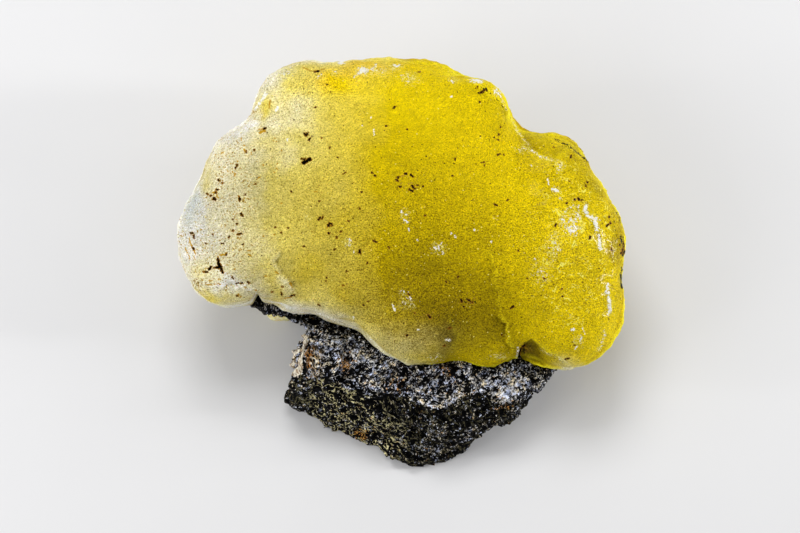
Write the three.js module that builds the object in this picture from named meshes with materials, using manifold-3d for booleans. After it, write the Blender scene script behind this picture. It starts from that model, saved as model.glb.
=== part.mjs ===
// A brucite specimen: one thick botryoidal crust of yellow brucite grown on a broken piece of dark
// matrix rock. It rests on the flat trimmed back of the rock, with the domed face of the crust up,
// like a cap on a stalk.
//
// The pieces are shaped as distance fields in the specimen's own axes: x to the right and y to the
// top of the domed face, z out of the face towards whoever looks at it. A net of triangles is drawn
// over each field, then the specimen is leaned and lifted into its resting pose, where z is up and
// the floor is z = 0.
// All lengths are in millimetres.

import * as THREE from "three";
import { ImprovedNoise } from "three/addons/math/ImprovedNoise.js";
import { mergeVertices } from "three/addons/utils/BufferGeometryUtils.js";
import Module from "manifold-3d";

// ---- Driving dimensions ----
const LEAN_DEG = 18; // the face looks up, tipped this far towards -y
const REST_HEIGHT = 20; // from the floor up to the specimen's origin, at the middle of the crust
const FIT_GAP = 0.5; // between the crust and the seat it has in the rock
const CRUST_CELL = 2.5; // spacing of the net over the crust
const ROCK_CELL = 2.6; // spacing of the net over the rock
const LOBE_CELL = 1.2; // spacing of the net over the small rear lobe

const CRUST_BACK = -8.5; // how far the crust's body reaches behind the specimen's origin
const CRUST_BACK_BLEND = 5; // softness of the turn from the crust's rim to its back
const CRUST_ROUGHNESS = 0.45; // height of the crust's broad unevenness
const CRUST_WAVE = 11; // its wavelength

const ROCK_BACK = -42; // how far back the rock's blocks reach, past where its flat base is trimmed
const ROCK_EDGE_BLEND = 1.1; // softness of the rock's broken edges
const ROCK_ROUGHNESS = 1.15; // height of the rock's crags
const ROCK_WAVE = 8.5; // their wavelength

// ---- The crust's lobes: centre, half sizes, and how softly each flows into those before it ----
const FACE_LOBES = [
  { name: "main dome", at: [-4.2, 14.4, -5], half: [30.4, 27, 17.5], blend: 0 },
  { name: "flat of the face", at: [19, 3.4, -4], half: [20, 16.4, 14.2], blend: 8 },
  { name: "top left", at: [-19.2, 28.2, -1], half: [11.5, 12.2, 8.5], blend: 3 },
  { name: "left, upper", at: [-28.6, 16.4, -1], half: [11.8, 11.6, 8.8], blend: 3 },
  { name: "left, middle", at: [-33, 5.6, -1], half: [12, 12, 8.8], blend: 5 },
  { name: "left, lower", at: [-34.8, -0.6, -0.5], half: [8.4, 8.4, 7.5], blend: 3 },
  { name: "lower left", at: [-19.4, 3.2, -2], half: [12, 12.2, 9.5], blend: 5 },
  { name: "bottom, left", at: [-9.4, 0.2, -2], half: [10.4, 11, 10], blend: 4 },
  { name: "bottom, middle", at: [4, -8.2, -2], half: [12.6, 12.6, 9.5], blend: 4 },
  { name: "bottom, right", at: [17.2, -12.4, -2], half: [7.4, 8.6, 8.8], blend: 4 },
  { name: "top right shoulder", at: [14, 30.4, 0], half: [7.2, 7.2, 6], blend: 2.5 },
  { name: "right, top", at: [28.8, 16.8, -2], half: [9, 9.2, 8], blend: 3 },
  { name: "right, middle", at: [31.8, 4.8, -1], half: [13, 13.4, 9.8], blend: 4 },
  { name: "right, lower", at: [32, -7.6, 0], half: [12.2, 13.9, 9.5], blend: 3 },
  { name: "behind the notch", at: [26.4, -15.4, -6], half: [5.4, 5.2, 5.5], blend: 2 },
];

// Around the rock, the back of the crust is covered by small botryoids, set out on a spiral.
const BACK_LOBES = {
  count: 34,
  centre: [-1, 9.5],
  reach: [38, 27.5],
  inner: 0.6, // the spiral starts at this share of its reach, outside the rock
  depth: -7.5,
  smallest: 3.8,
  largest: 6.4,
  blend: 2.4,
};

const REAR_LOBE = { name: "rear lobe", at: [-25, -9.2, -13.6], half: [3.4, 2.6, 2.8], blend: 0 };

// ---- The rock: blocks with broken faces, each face a plane through a point, looking outwards ----
const ROCK_BLOCKS = [
  {
    name: "keel, which carries the crust",
    faces: [
      { through: [0, -24, -0.6], facing: [0, 0.28, 1] },
      { through: [-14.4, -24.6, 0.6], facing: [-0.25, -0.75, 0.8] },
      { through: [6, -29.2, 1.7], facing: [0.12, -0.52, 0.82] },
      { through: [-10.3, -36.1, -8], facing: [-0.48, -0.88, -0.1] },
      { through: [5, -44.4, -8], facing: [0.05, -1, -0.1] },
      { through: [9, -41.2, -8], facing: [0.66, -0.75, -0.1] },
      { through: [-21.8, -22, -6], facing: [-1, 0.42, -0.2] },
      { through: [-24, 8, -14], facing: [-0.85, 0.4, -0.3] },
      { through: [0, 24, -16], facing: [0.1, 1, -0.3] },
      { through: [22, 14, -14], facing: [0.8, 0.5, -0.25] },
      { through: [23, -14, -8], facing: [1, 0.1, -0.25] },
    ],
  },
  {
    name: "right shoulder",
    faces: [
      { through: [24, -22, -1.8], facing: [0.1, 0.3, 1] },
      { through: [22, -27, -1.6], facing: [0.35, -0.6, 0.8] },
      { through: [18, -32, -8], facing: [0.2, -1, -0.15] },
      { through: [26.6, -25.8, -8], facing: [0.7, -0.71, -0.2] },
      { through: [32, -12, -9], facing: [1, 0.1, -0.4] },
      { through: [20, 4, -14], facing: [0.3, 0.9, -0.5] },
      { through: [8, -20, -10], facing: [-1, 0, 0] },
    ],
  },
  {
    name: "left wing, a buttress behind the crust",
    faces: [
      { through: [-26, -10, -4.6], facing: [0, 0.2, 1] },
      { through: [-25, -10.8, -6], facing: [-0.3, -0.95, -0.2] },
      { through: [-31, -7.5, -7], facing: [-0.95, -0.3, -0.3] },
      { through: [-27, -4, -17.5], facing: [-0.35, -0.15, -0.9] },
      { through: [-30, 6, -8], facing: [-0.5, 0.85, -0.3] },
      { through: [-12, -10, -8], facing: [1, 0, 0] },
    ],
  },
];

const ROCK_LUMPS = [
  { name: "pale knob on the left side", at: [-20.4, -18.8, -5], half: [2.6, 3.6, 4.5], blend: 1 },
  { name: "knob at the tip of the wing", at: [-26.2, -8.9, -6], half: [2.2, 2.6, 2.4], blend: 0.8 },
  { name: "lowest point of the front", at: [3.8, -37.6, -8.4], half: [6.4, 3.4, 3.6], blend: 2.5 },
];

// ---- Fields: negative inside, positive outside, near enough to distance close to the surface ----
const noise = new ImprovedNoise();

function softMin(a, b, blend) {
  if (blend <= 0) return Math.min(a, b);
  const share = Math.max(blend - Math.abs(a - b), 0) / blend;
  return Math.min(a, b) - (share * share * blend) / 4;
}

function softMax(a, b, blend) {
  return -softMin(-a, -b, blend);
}

function ellipsoid(p, at, half) {
  const [x, y, z] = [p.x - at[0], p.y - at[1], p.z - at[2]];
  const near = Math.hypot(x / half[0], y / half[1], z / half[2]);
  const slope = Math.hypot(x / half[0] ** 2, y / half[1] ** 2, z / half[2] ** 2);
  return slope > 0 ? (near * (near - 1)) / slope : -Math.min(...half);
}

function joinLobes(p, lobes, start = Infinity) {
  return lobes.reduce((d, lobe) => softMin(d, ellipsoid(p, lobe.at, lobe.half), lobe.blend), start);
}

function plane(p, { through, facing }) {
  const [x, y, z] = [p.x - through[0], p.y - through[1], p.z - through[2]];
  return (x * facing[0] + y * facing[1] + z * facing[2]) / Math.hypot(...facing);
}

// Uneven growth: two octaves of smooth noise, shifted so that each use has its own pattern.
function unevenness(p, wave, shift) {
  const [x, y, z] = [p.x / wave + shift, p.y / wave + shift, p.z / wave + shift];
  return noise.noise(x, y, z) + 0.5 * noise.noise(2 * x + 7.3, 2 * y + 1.9, 2 * z + 4.1);
}

// Sunflower spiral: its points fill an elliptical ring evenly.
function backLobes({ count, centre, reach, inner, depth, smallest, largest, blend }) {
  const goldenAngle = Math.PI * (3 - Math.sqrt(5));
  return Array.from({ length: count }, (_, i) => {
    const out = Math.sqrt(THREE.MathUtils.lerp(inner * inner, 1, (i + 0.5) / count));
    const turn = i * goldenAngle;
    const size = THREE.MathUtils.lerp(smallest, largest, 0.5 + 0.5 * Math.sin(i * 2.4 + 1));
    const x = centre[0] + reach[0] * out * Math.cos(turn);
    const y = centre[1] + reach[1] * out * Math.sin(turn);
    return { at: [x, y, depth], half: [size, size, size * 0.9], blend };
  });
}

const BACK = backLobes(BACK_LOBES);

function crustField(p) {
  const face = joinLobes(p, FACE_LOBES);
  const body = softMax(face, CRUST_BACK - p.z, CRUST_BACK_BLEND);
  const knobbly = softMax(joinLobes(p, BACK), face - 0.6, 1.5);
  return softMin(body, knobbly, BACK_LOBES.blend) + CRUST_ROUGHNESS * unevenness(p, CRUST_WAVE, 0.37);
}

function rockField(p) {
  const blocks = ROCK_BLOCKS.map(({ faces }) =>
    faces.reduce((d, face) => softMax(d, plane(p, face), ROCK_EDGE_BLEND), ROCK_BACK - p.z),
  );
  const block = blocks.reduce((a, b) => softMin(a, b, ROCK_EDGE_BLEND));
  return joinLobes(p, ROCK_LUMPS, block) + ROCK_ROUGHNESS * unevenness(p, ROCK_WAVE, 5.21);
}

function rearLobeField(p) {
  return joinLobes(p, [REAR_LOBE]) + 0.3 * unevenness(p, 4, 2.6);
}

// ---- Surface net ----
// One vertex in each cell that the surface crosses, one pair of triangles at each grid edge it crosses.
function netOver(field, low, high, cell) {
  const count = high.map((h, axis) => Math.ceil((h - low[axis]) / cell) + 1);
  const stride = [1, count[0], count[0] * count[1]];
  const place = (i, j, k) => new THREE.Vector3(low[0] + i * cell, low[1] + j * cell, low[2] + k * cell);
  const values = new Float64Array(count[0] * count[1] * count[2]);
  forEachCell(count, (i, j, k, at) => {
    values[at] = field(place(i, j, k));
  });
  fillPinches(values, count, stride);

  const corners = [0, 1, 2, 3, 4, 5, 6, 7].map((c) => [c & 1, (c >> 1) & 1, (c >> 2) & 1]);
  const edges = corners.flatMap((a, i) => [1, 2, 4].filter((bit) => !(i & bit)).map((bit) => [i, i | bit]));
  const positions = [];
  const vertexOf = new Map();
  forEachCell(count.map((n) => n - 1), (i, j, k) => {
    const at = i + j * stride[1] + k * stride[2];
    const offset = (c) => corners[c][0] + corners[c][1] * stride[1] + corners[c][2] * stride[2];
    const crossed = edges.filter(([a, b]) => values[at + offset(a)] < 0 !== values[at + offset(b)] < 0);
    if (!crossed.length) return;
    const middle = new THREE.Vector3();
    for (const [a, b] of crossed) {
      const [va, vb] = [values[at + offset(a)], values[at + offset(b)]];
      const from = place(i + corners[a][0], j + corners[a][1], k + corners[a][2]);
      const to = place(i + corners[b][0], j + corners[b][1], k + corners[b][2]);
      middle.addScaledVector(from.lerp(to, va / (va - vb)), 1 / crossed.length);
    }
    vertexOf.set(at, positions.length / 3);
    positions.push(...settle(field, middle, cell).toArray());
  });

  const indices = [];
  forEachCell(count, (i, j, k, at) => {
    if (i === 0 || j === 0 || k === 0) return;
    for (let axis = 0; axis < 3; axis++) {
      if ([i, j, k][axis] === count[axis] - 1) continue;
      const inside = values[at] < 0;
      if (inside === values[at + stride[axis]] < 0) continue;
      const [u, v] = [stride[(axis + 1) % 3], stride[(axis + 2) % 3]];
      const ring = [at - u - v, at - v, at, at - u].map((c) => vertexOf.get(c));
      if (!inside) ring.reverse();
      indices.push(...splitQuad(ring, positions));
    }
  });
  return new THREE.BufferGeometry()
    .setAttribute("position", new THREE.Float32BufferAttribute(positions, 3))
    .setIndex(indices);
}

function forEachCell(count, visit) {
  let at = 0;
  for (let k = 0; k < count[2]; k++) {
    for (let j = 0; j < count[1]; j++) {
      for (let i = 0; i < count[0]; i++) visit(i, j, k, at++);
    }
  }
}

// Where only two opposite corners of a grid square are inside, the net would touch itself along an
// edge: a third corner, the one nearest the surface, is filled.
function fillPinches(values, count, stride) {
  const pinched = ([a, b, c, d]) => a < 0 === c < 0 && b < 0 === d < 0 && a < 0 !== b < 0;
  let filled = 0;
  forEachCell(count, (i, j, k, at) => {
    for (let axis = 0; axis < 3; axis++) {
      const [next, last] = [(axis + 1) % 3, (axis + 2) % 3];
      if ([i, j, k][next] === count[next] - 1 || [i, j, k][last] === count[last] - 1) continue;
      const square = [at, at + stride[next], at + stride[next] + stride[last], at + stride[last]];
      if (!pinched(square.map((corner) => values[corner]))) continue;
      const outside = square.filter((corner) => values[corner] >= 0);
      values[outside.reduce((a, b) => (values[a] < values[b] ? a : b))] = -0.01;
      filled++;
    }
  });
  if (filled) fillPinches(values, count, stride);
}

// One step down the field's slope brings a vertex onto the true surface, but never far from its cell.
function settle(field, p, cell) {
  const h = cell * 0.05;
  const here = field(p);
  const slope = new THREE.Vector3(
    field(p.clone().setX(p.x + h)) - here,
    field(p.clone().setY(p.y + h)) - here,
    field(p.clone().setZ(p.z + h)) - here,
  ).divideScalar(h);
  const step = slope.multiplyScalar(-here / Math.max(slope.lengthSq(), 0.25));
  return p.add(step.clampLength(0, cell * 0.3));
}

// Two triangles over four vertices, split along the shorter diagonal.
function splitQuad([a, b, c, d], positions) {
  const gap = (m, n) =>
    Math.hypot(...[0, 1, 2].map((axis) => positions[3 * m + axis] - positions[3 * n + axis]));
  return gap(a, c) < gap(b, d) ? [a, b, c, a, c, d] : [b, c, d, b, d, a];
}

// ---- Solids ----
const wasm = await Module();
wasm.setup();

function toSolid(geometry) {
  const bare = geometry.clone();
  bare.deleteAttribute("normal");
  bare.deleteAttribute("uv");
  const merged = mergeVertices(bare, 1e-4);
  return new wasm.Manifold(
    new wasm.Mesh({
      numProp: 3,
      vertProperties: merged.attributes.position.array,
      triVerts: new Uint32Array(merged.index.array),
    }),
  );
}

function toGeometry(solid) {
  const { vertProperties, triVerts } = solid.getMesh();
  return new THREE.BufferGeometry()
    .setAttribute("position", new THREE.BufferAttribute(vertProperties, 3))
    .setIndex(new THREE.BufferAttribute(triVerts, 1));
}

// The specimen leaned and lifted into its resting pose.
const restingPose = new THREE.Matrix4()
  .makeRotationX(THREE.MathUtils.degToRad(LEAN_DEG))
  .setPosition(0, 0, REST_HEIGHT);

function solidOver(field, low, high, cell) {
  return toSolid(netOver(field, low, high, cell).applyMatrix4(restingPose));
}

// A cut can leave crumbs: the rock is its largest piece.
function largestPiece(solid) {
  return solid.decompose().reduce((a, b) => (a.volume() > b.volume() ? a : b));
}

const CRUST_LOW = [-49, -25, -18];
const CRUST_HIGH = [49, 45, 19];
const ROCK_LOW = [-48, -52, -47];
const ROCK_HIGH = [48, 42, 10];
const LOBE_LOW = [-31, -15, -19];
const LOBE_HIGH = [-19, -3, -8];

function makeCrust() {
  return solidOver(crustField, CRUST_LOW, CRUST_HIGH, CRUST_CELL);
}

function makeRearLobe() {
  return solidOver(rearLobeField, LOBE_LOW, LOBE_HIGH, LOBE_CELL);
}

function makeRock() {
  const seat = solidOver((p) => crustField(p) - FIT_GAP, CRUST_LOW, CRUST_HIGH, CRUST_CELL);
  const socket = solidOver((p) => rearLobeField(p) - FIT_GAP, LOBE_LOW, LOBE_HIGH, LOBE_CELL);
  const below = toSolid(new THREE.BoxGeometry(200, 200, 60).translate(0, 0, -30));
  const rough = solidOver(rockField, ROCK_LOW, ROCK_HIGH, ROCK_CELL);
  return largestPiece(rough.subtract(seat).subtract(socket).subtract(below));
}

// ---- The specimen ----
const brucite = new THREE.MeshStandardMaterial({ color: 0xd9bd1c, roughness: 0.38, metalness: 0 });
const paleBrucite = new THREE.MeshStandardMaterial({ color: 0xe6dc9a, roughness: 0.45, metalness: 0 });
const darkRock = new THREE.MeshStandardMaterial({ color: 0x3b362f, roughness: 0.85, metalness: 0 });

function addPiece(group, name, solid, material) {
  const mesh = new THREE.Mesh(toGeometry(solid), material);
  mesh.name = name;
  group.add(mesh);
}

const specimen = new THREE.Group();
addPiece(specimen, "brucite_crust", makeCrust(), brucite);
addPiece(specimen, "matrix_rock", makeRock(), darkRock);
addPiece(specimen, "brucite_rear_lobe", makeRearLobe(), paleBrucite);

// The row's origin: the middle of the specimen's box, on the floor.
const middle = new THREE.Box3().setFromObject(specimen).getCenter(new THREE.Vector3());
specimen.position.set(-middle.x, -middle.y, 0);

export default specimen;
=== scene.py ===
"""The looks of the brucite specimen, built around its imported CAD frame.

Each visible piece starts as a fine, smoothed copy of its CAD node and gets its relief in numpy. Relief and
colour are laid out in the specimen's own axes, in millimetres: x to the right and y to the top of the domed
face, z out of the face. In the frame, in metres, the specimen lies on its back, with its top end raised by
LEAN.
"""
import math

import bmesh
import bpy
import numpy as np
from mathutils import Matrix, Vector, noise
from mathutils.bvhtree import BVHTree


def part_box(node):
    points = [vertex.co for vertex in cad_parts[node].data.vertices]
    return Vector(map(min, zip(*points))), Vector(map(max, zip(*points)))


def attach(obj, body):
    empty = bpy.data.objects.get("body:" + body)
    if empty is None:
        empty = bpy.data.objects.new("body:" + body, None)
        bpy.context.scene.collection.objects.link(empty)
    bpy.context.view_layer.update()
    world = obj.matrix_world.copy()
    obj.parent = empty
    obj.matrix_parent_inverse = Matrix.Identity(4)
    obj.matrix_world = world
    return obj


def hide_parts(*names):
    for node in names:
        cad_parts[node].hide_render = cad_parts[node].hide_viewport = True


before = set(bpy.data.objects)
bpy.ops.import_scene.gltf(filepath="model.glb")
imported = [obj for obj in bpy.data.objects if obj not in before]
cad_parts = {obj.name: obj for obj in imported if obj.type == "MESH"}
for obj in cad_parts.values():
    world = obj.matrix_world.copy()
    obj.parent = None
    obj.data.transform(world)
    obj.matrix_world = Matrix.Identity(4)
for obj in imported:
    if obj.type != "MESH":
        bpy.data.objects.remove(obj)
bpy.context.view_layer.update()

# ---- The specimen's axes in the frame ----
MM = 0.001
LEAN = math.radians(18)
CRUST_LEFT, CRUST_TOP = 45.1, 41.3  # how far the origin is from the crust's left and far ends
REST_HEIGHT = 20.0  # how far it is above the floor
crust_low, crust_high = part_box("brucite_crust")
ORIGIN = Vector((crust_low.x + CRUST_LEFT * MM, crust_high.y - CRUST_TOP * MM, REST_HEIGHT * MM))
TURN = np.array(Matrix.Rotation(LEAN, 3, "X"))


def to_face(points):
    return (points - np.array(ORIGIN)) @ TURN / MM


def from_face(points):
    return points * MM @ TURN.T + np.array(ORIGIN)


# ---- Numbers over many points at once ----
NOISE_SEED = 26
noise.seed_set(NOISE_SEED)  # without a seed, noise_vector differs from run to run
NO_MARK = -2.0  # what inside_marks gives far from every mark


def smoothstep(low, high, value):
    """0 up to low and 1 from high on, or the other way round if low is the larger."""
    t = np.clip((value - low) / (high - low), 0, 1)
    return t * t * (3 - 2 * t)


def blob(p, x, y, across, up):
    """1 at a place on the face, falling off softly over these half widths."""
    return np.exp(-(((p[:, 0] - x) / across) ** 2) - ((p[:, 1] - y) / up) ** 2)


def patches(p, table):
    """How strongly any of the soft patches (x, y, half width, half height, strength) covers each point."""
    bare = np.ones(len(p))
    for *place, strength in table:
        bare *= 1 - strength * blob(p, *place)
    return 1 - bare


def waves(p, length, octaves=1, shift=0.0):
    """Smooth noise between about -1 and 1, with waves of this length."""
    scaled = p / length + shift
    return np.array([noise.fractal(q, 0.9, 2.1, octaves) for q in scaled])


def crags(p, length, octaves, shift):
    """Ridged noise from 0, in the hollows, to about 1, on the sharp ridges."""
    scaled = p / length + shift
    return np.array([noise.ridged_multi_fractal(q, 0.9, 2.2, octaves, 0.9, 1.6) for q in scaled]) / 2


def facets(p, size, shift=0.0):
    """Tilted chips of this size: their height, about -1 to 1, and how far each point is from the edge."""
    height, edge = np.empty(len(p)), np.empty(len(p))
    for i, q in enumerate(p / size + shift):
        (near, second, _, _), (middle, _, _, _) = noise.voronoi(Vector(q))
        height[i] = 2 * noise.noise_vector(middle * 7.13).dot(Vector(q) - middle)
        edge[i] = second - near
    return height, edge


def layers(p, thickness, shift):
    """Noise from about -1 to 1 that changes fast with depth and slowly along the face, like thin layers."""
    depth = p[:, 2] + 1.5 * waves(p, 9, 2, shift)
    return waves(np.column_stack([p[:, 0] / 8, p[:, 1] / 8, depth]), thickness, 2, shift)


def beside(p, line):
    """Signed distance to a line drawn on the face, positive on its left, and the share of its length."""
    nearest = np.full(len(p), np.inf)
    signed, share = np.zeros(len(p)), np.zeros(len(p))
    line = np.array(line, float)
    lengths = np.linalg.norm(np.diff(line, axis=0), axis=1)
    before = np.concatenate([[0], np.cumsum(lengths)])
    for (a, b), length, start in zip(zip(line, line[1:]), lengths, before):
        along = (b - a) / length
        offset = p[:, :2] - a
        t = np.clip(offset @ along, 0, length)
        distance = np.linalg.norm(offset - t[:, None] * along, axis=1)
        left = along[0] * offset[:, 1] - along[1] * offset[:, 0]
        closer = distance < nearest
        nearest[closer] = distance[closer]
        signed[closer] = (np.sign(left) * distance)[closer]
        share[closer] = ((start + t) / before[-1])[closer]
    return signed, share


def fades(share, start=0.15, end=0.15):
    """1 along a line, falling to 0 towards its two ends."""
    return smoothstep(0, start, share) * smoothstep(0, end, 1 - share)


def drawn(p, lines):
    """How strongly any of the soft lines (half width, strength, corners) covers each point."""
    bare = np.ones(len(p))
    for half_width, strength, corners in lines:
        side, share = beside(p, corners)
        bare *= 1 - strength * fades(share, 0.08, 0.08) * np.exp(-((side / half_width) ** 2))
    return 1 - bare


def inside_marks(p, marks):
    """How far each point is inside the edge of a mark, in millimetres, negative outside."""
    inside = np.full(len(p), NO_MARK)
    for mark in marks:
        x0, y0, start, x1, y1, end = mark * (6 // len(mark))
        a, along = np.array([x0, y0]), np.array([x1 - x0, y1 - y0])
        t = np.clip((p[:, :2] - a) @ along / max(along @ along, 1e-9), 0, 1)
        half_width = start + (end - start) * t
        inside = np.maximum(inside, half_width - np.linalg.norm(p[:, :2] - a - t[:, None] * along, axis=1))
    return inside


def pushed(p, table):
    """How far each point moves to the right and up, by patches with these moves in place of a strength."""
    moves = np.zeros((len(p), 2))
    for *place, right, higher in table:
        moves += blob(p, *place)[:, None] * (right, higher)
    return moves


# ---- Meshes ----
BACK_STARTS = -0.3  # how far a normal leans away from the viewer where the coarser back starts


def apply_modifiers(piece):
    bpy.context.view_layer.update()
    shown = piece.evaluated_get(bpy.context.evaluated_depsgraph_get())
    mesh = bpy.data.meshes.new_from_object(shown)
    piece.modifiers.clear()
    piece.data = mesh


def measured(items, place):
    """The places and the normals of a mesh's vertices or faces, in the specimen's axes."""
    places, normals = np.empty(len(items) * 3), np.empty(len(items) * 3)
    items.foreach_get(place, places)
    items.foreach_get("normal", normals)
    return to_face(places.reshape(-1, 3)), normals.reshape(-1, 3) @ TURN


def split_faces(piece, chosen):
    """Splits each chosen face in four, and its neighbours where they meet it."""
    fine = bmesh.new()
    fine.from_mesh(piece.data)
    fine.faces.ensure_lookup_table()
    edges = {edge for i in np.flatnonzero(chosen) for edge in fine.faces[i].edges}
    in_order = sorted(edges, key=lambda edge: edge.index)
    bmesh.ops.subdivide_edges(fine, edges=in_order, cuts=1, use_grid_fill=True)
    fine.to_mesh(piece.data)
    fine.free()


def fine_copy(node, name, cell, smoothing):
    """A copy of a CAD node with its facets smoothed away, of faces cell wide, or twice that at the back."""
    piece = bpy.data.objects.new(name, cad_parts[node].data.copy())
    bpy.context.scene.collection.objects.link(piece)
    piece.data.materials.clear()
    remesh = piece.modifiers.new("even faces", "REMESH")
    remesh.mode = "VOXEL"
    remesh.voxel_size = cell * 2 * MM
    smooth = piece.modifiers.new("no facets", "SMOOTH")
    smooth.iterations = smoothing
    apply_modifiers(piece)
    _, normals = measured(piece.data.polygons, "center")
    split_faces(piece, normals[:, 2] > BACK_STARTS)
    return piece


def softened(piece, values, rounds=12):
    """The values at a piece's vertices, averaged with their neighbours' this many times."""
    ends = np.empty(len(piece.data.edges) * 2, dtype=np.int32)
    piece.data.edges.foreach_get("vertices", ends)
    a, b = ends[::2], ends[1::2]
    neighbours = np.bincount(ends, minlength=len(values))
    for _ in range(rounds):
        total = np.bincount(a, values[b], len(values)) + np.bincount(b, values[a], len(values))
        values = (values + total / neighbours) / 2
    return values


def set_face_points(piece, points, node):
    """Moves a piece's vertices, but never out of the box of the CAD node it stands for."""
    low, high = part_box(node)
    world = np.clip(from_face(points), low, high)
    piece.data.vertices.foreach_set("co", world.ravel())
    piece.data.update()


def paint(piece, name, values):
    """Stores a number or a colour for each vertex, for the material to read."""
    if values.ndim == 1:
        piece.data.attributes.new(name, "FLOAT", "POINT").data.foreach_set("value", values)
    else:
        rgba = np.column_stack([values, np.ones(len(values))])
        piece.data.attributes.new(name, "FLOAT_COLOR", "POINT").data.foreach_set("color", rgba.ravel())


def srgb(red, green, blue):
    """A screen colour, 0 to 255, as the linear colour that materials take."""
    c = np.array([red, green, blue]) / 255
    return np.where(c <= 0.04045, c / 12.92, ((c + 0.055) / 1.055) ** 2.4)


def blend_to(colours, target, amount):
    return colours + (target - colours) * amount[:, None]


def finish(piece, node, material):
    piece.data.materials.append(material)
    piece.data.shade_smooth()
    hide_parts(node)
    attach(piece, "root")


# ---- Material nodes ----
class Tree:
    """A material's node tree, with short ways to add what these materials need. Sizes are in millimetres."""

    def __init__(self, name):
        self.material = bpy.data.materials.new(name)
        self.material.use_nodes = True
        self.nodes, self.links = self.material.node_tree.nodes, self.material.node_tree.links
        self.surface = self.nodes["Principled BSDF"]
        self.place = self.add("ShaderNodeTexCoord").outputs["Object"]
        self.colour = None

    def feed(self, node, inputs):
        """Links or sets a node's inputs, each given by its name or number."""
        for key, value in inputs.items():
            if isinstance(value, bpy.types.NodeSocket):
                self.links.new(value, node.inputs[key])
            else:
                node.inputs[key].default_value = value

    def add(self, kind, inputs=None, **settings):
        node = self.nodes.new(kind)
        for key, value in settings.items():
            setattr(node, key, value)
        self.feed(node, inputs or {})
        return node

    def attribute(self, name, output="Fac"):
        return self.add("ShaderNodeAttribute", attribute_name=name).outputs[output]

    def math(self, operation, a, b=0.0):
        return self.add("ShaderNodeMath", {0: a, 1: b}, operation=operation).outputs[0]

    def times(self, a, b):
        return self.math("MULTIPLY", a, b)

    def plus(self, a, b):
        return self.math("ADD", a, b)

    def vector(self, operation, *values, output="Vector"):
        return self.add("ShaderNodeVectorMath", dict(enumerate(values)), operation=operation).outputs[output]

    def between(self, value, low, high):
        """0 below low and 1 above high, or the other way round if low is the larger."""
        inputs = {"Value": value, "From Min": low, "From Max": high}
        return self.add("ShaderNodeMapRange", inputs, interpolation_type="SMOOTHSTEP").outputs["Result"]

    def channels(self, colour):
        return self.add("ShaderNodeSeparateColor", {0: colour}).outputs

    def mix(self, amount, a, b, blend="MIX"):
        a, b = [c if isinstance(c, bpy.types.NodeSocket) else (*c, 1) for c in (a, b)]
        node = self.add("ShaderNodeMix", {0: amount, 6: a, 7: b}, data_type="RGBA", blend_type=blend)
        return node.outputs[2]

    def cover(self, amount, colour):
        """Lays another colour over the colour so far."""
        self.colour = self.mix(amount, self.colour, colour)

    def multiply(self, amount, factors):
        """Multiplies the colour so far."""
        self.colour = self.mix(amount, self.colour, factors, "MULTIPLY")

    def pattern(self, size, place=None):
        """The inputs that noise and cells share."""
        return {"Vector": place or self.place, "Scale": 1 / (size * MM)}

    def swirled(self, reach, size):
        """The place on the piece, moved by up to reach either way in swirls of this size."""
        swirl = self.add("ShaderNodeTexNoise", {**self.pattern(size), "Detail": 1})
        return self.vector("MULTIPLY_ADD", swirl.outputs["Color"], [2 * reach * MM] * 3, self.place)

    def stretched(self, place, turn, *stretch):
        """A place on the piece, for patterns longer along some axes, these turned about the up axis."""
        inputs = {"Vector": place, "Rotation": (0, 0, math.radians(turn)), "Scale": stretch}
        return self.add("ShaderNodeMapping", inputs, vector_type="TEXTURE").outputs["Vector"]

    def noise(self, size, detail=3.0, place=None, distortion=0.0, crispness=0.5):
        """Noise whose blotches are about this size."""
        more = {"Detail": detail, "Roughness": crispness, "Distortion": distortion}
        return self.add("ShaderNodeTexNoise", {**self.pattern(size, place), **more}).outputs["Fac"]

    def ragged(self, size, amount):
        """Noise around 0, to make an edge ragged by this much."""
        return self.times(self.math("SUBTRACT", self.noise(size, 2), 0.5), amount)

    def cells(self, size, place=None):
        """Cells of this size: each cell's middle and random colour, and the distance from its middle."""
        return self.add("ShaderNodeTexVoronoi", self.pattern(size, place)).outputs

    def chips(self, size, place):
        """The height of chips of this size, each tilted its own way."""
        cell = self.cells(size, place)
        slope = 1 / (size * MM)
        across = self.vector("SUBTRACT", place, cell["Position"])
        tilt = self.vector("MULTIPLY_ADD", cell["Color"], [2 * slope] * 3, [-slope] * 3)
        return self.vector("DOT_PRODUCT", across, tilt, output="Value")

    def specks(self, size, density, smallest, largest):
        """1 inside scattered specks: this share of the cells has one, of radii given in cell sizes."""
        cell = self.cells(size)
        chance = self.channels(cell["Color"])
        radius = self.plus(self.times(chance[1], largest - smallest), smallest)
        past_edge = self.math("SUBTRACT", cell["Distance"], self.plus(radius, self.ragged(size / 3, 0.4)))
        return self.times(self.math("LESS_THAN", chance[0], density), self.between(past_edge, 0.04, -0.04))

    def flecks(self, grain, density, rarest, densest):
        """1 in crisp flecks, where the grain passes rarest if the density is 0, or densest if it is 1."""
        limit = self.plus(self.times(density, densest - rarest), rarest)
        return self.between(self.math("SUBTRACT", grain, limit), 0.0, 0.03)

    def threads(self, size, width, place=None, distortion=0.0):
        """1 on thin winding threads, where noise of this size passes its middle."""
        across = self.math("SUBTRACT", self.noise(size, 2, place, distortion), 0.5)
        return self.between(self.math("ABSOLUTE", across), width, width / 3)

    def bump(self, height, depth):
        """The normals of a relief too fine for the mesh, this deep where the height is 1."""
        return self.add("ShaderNodeBump", {"Height": height, "Distance": depth * MM}).outputs["Normal"]


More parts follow.
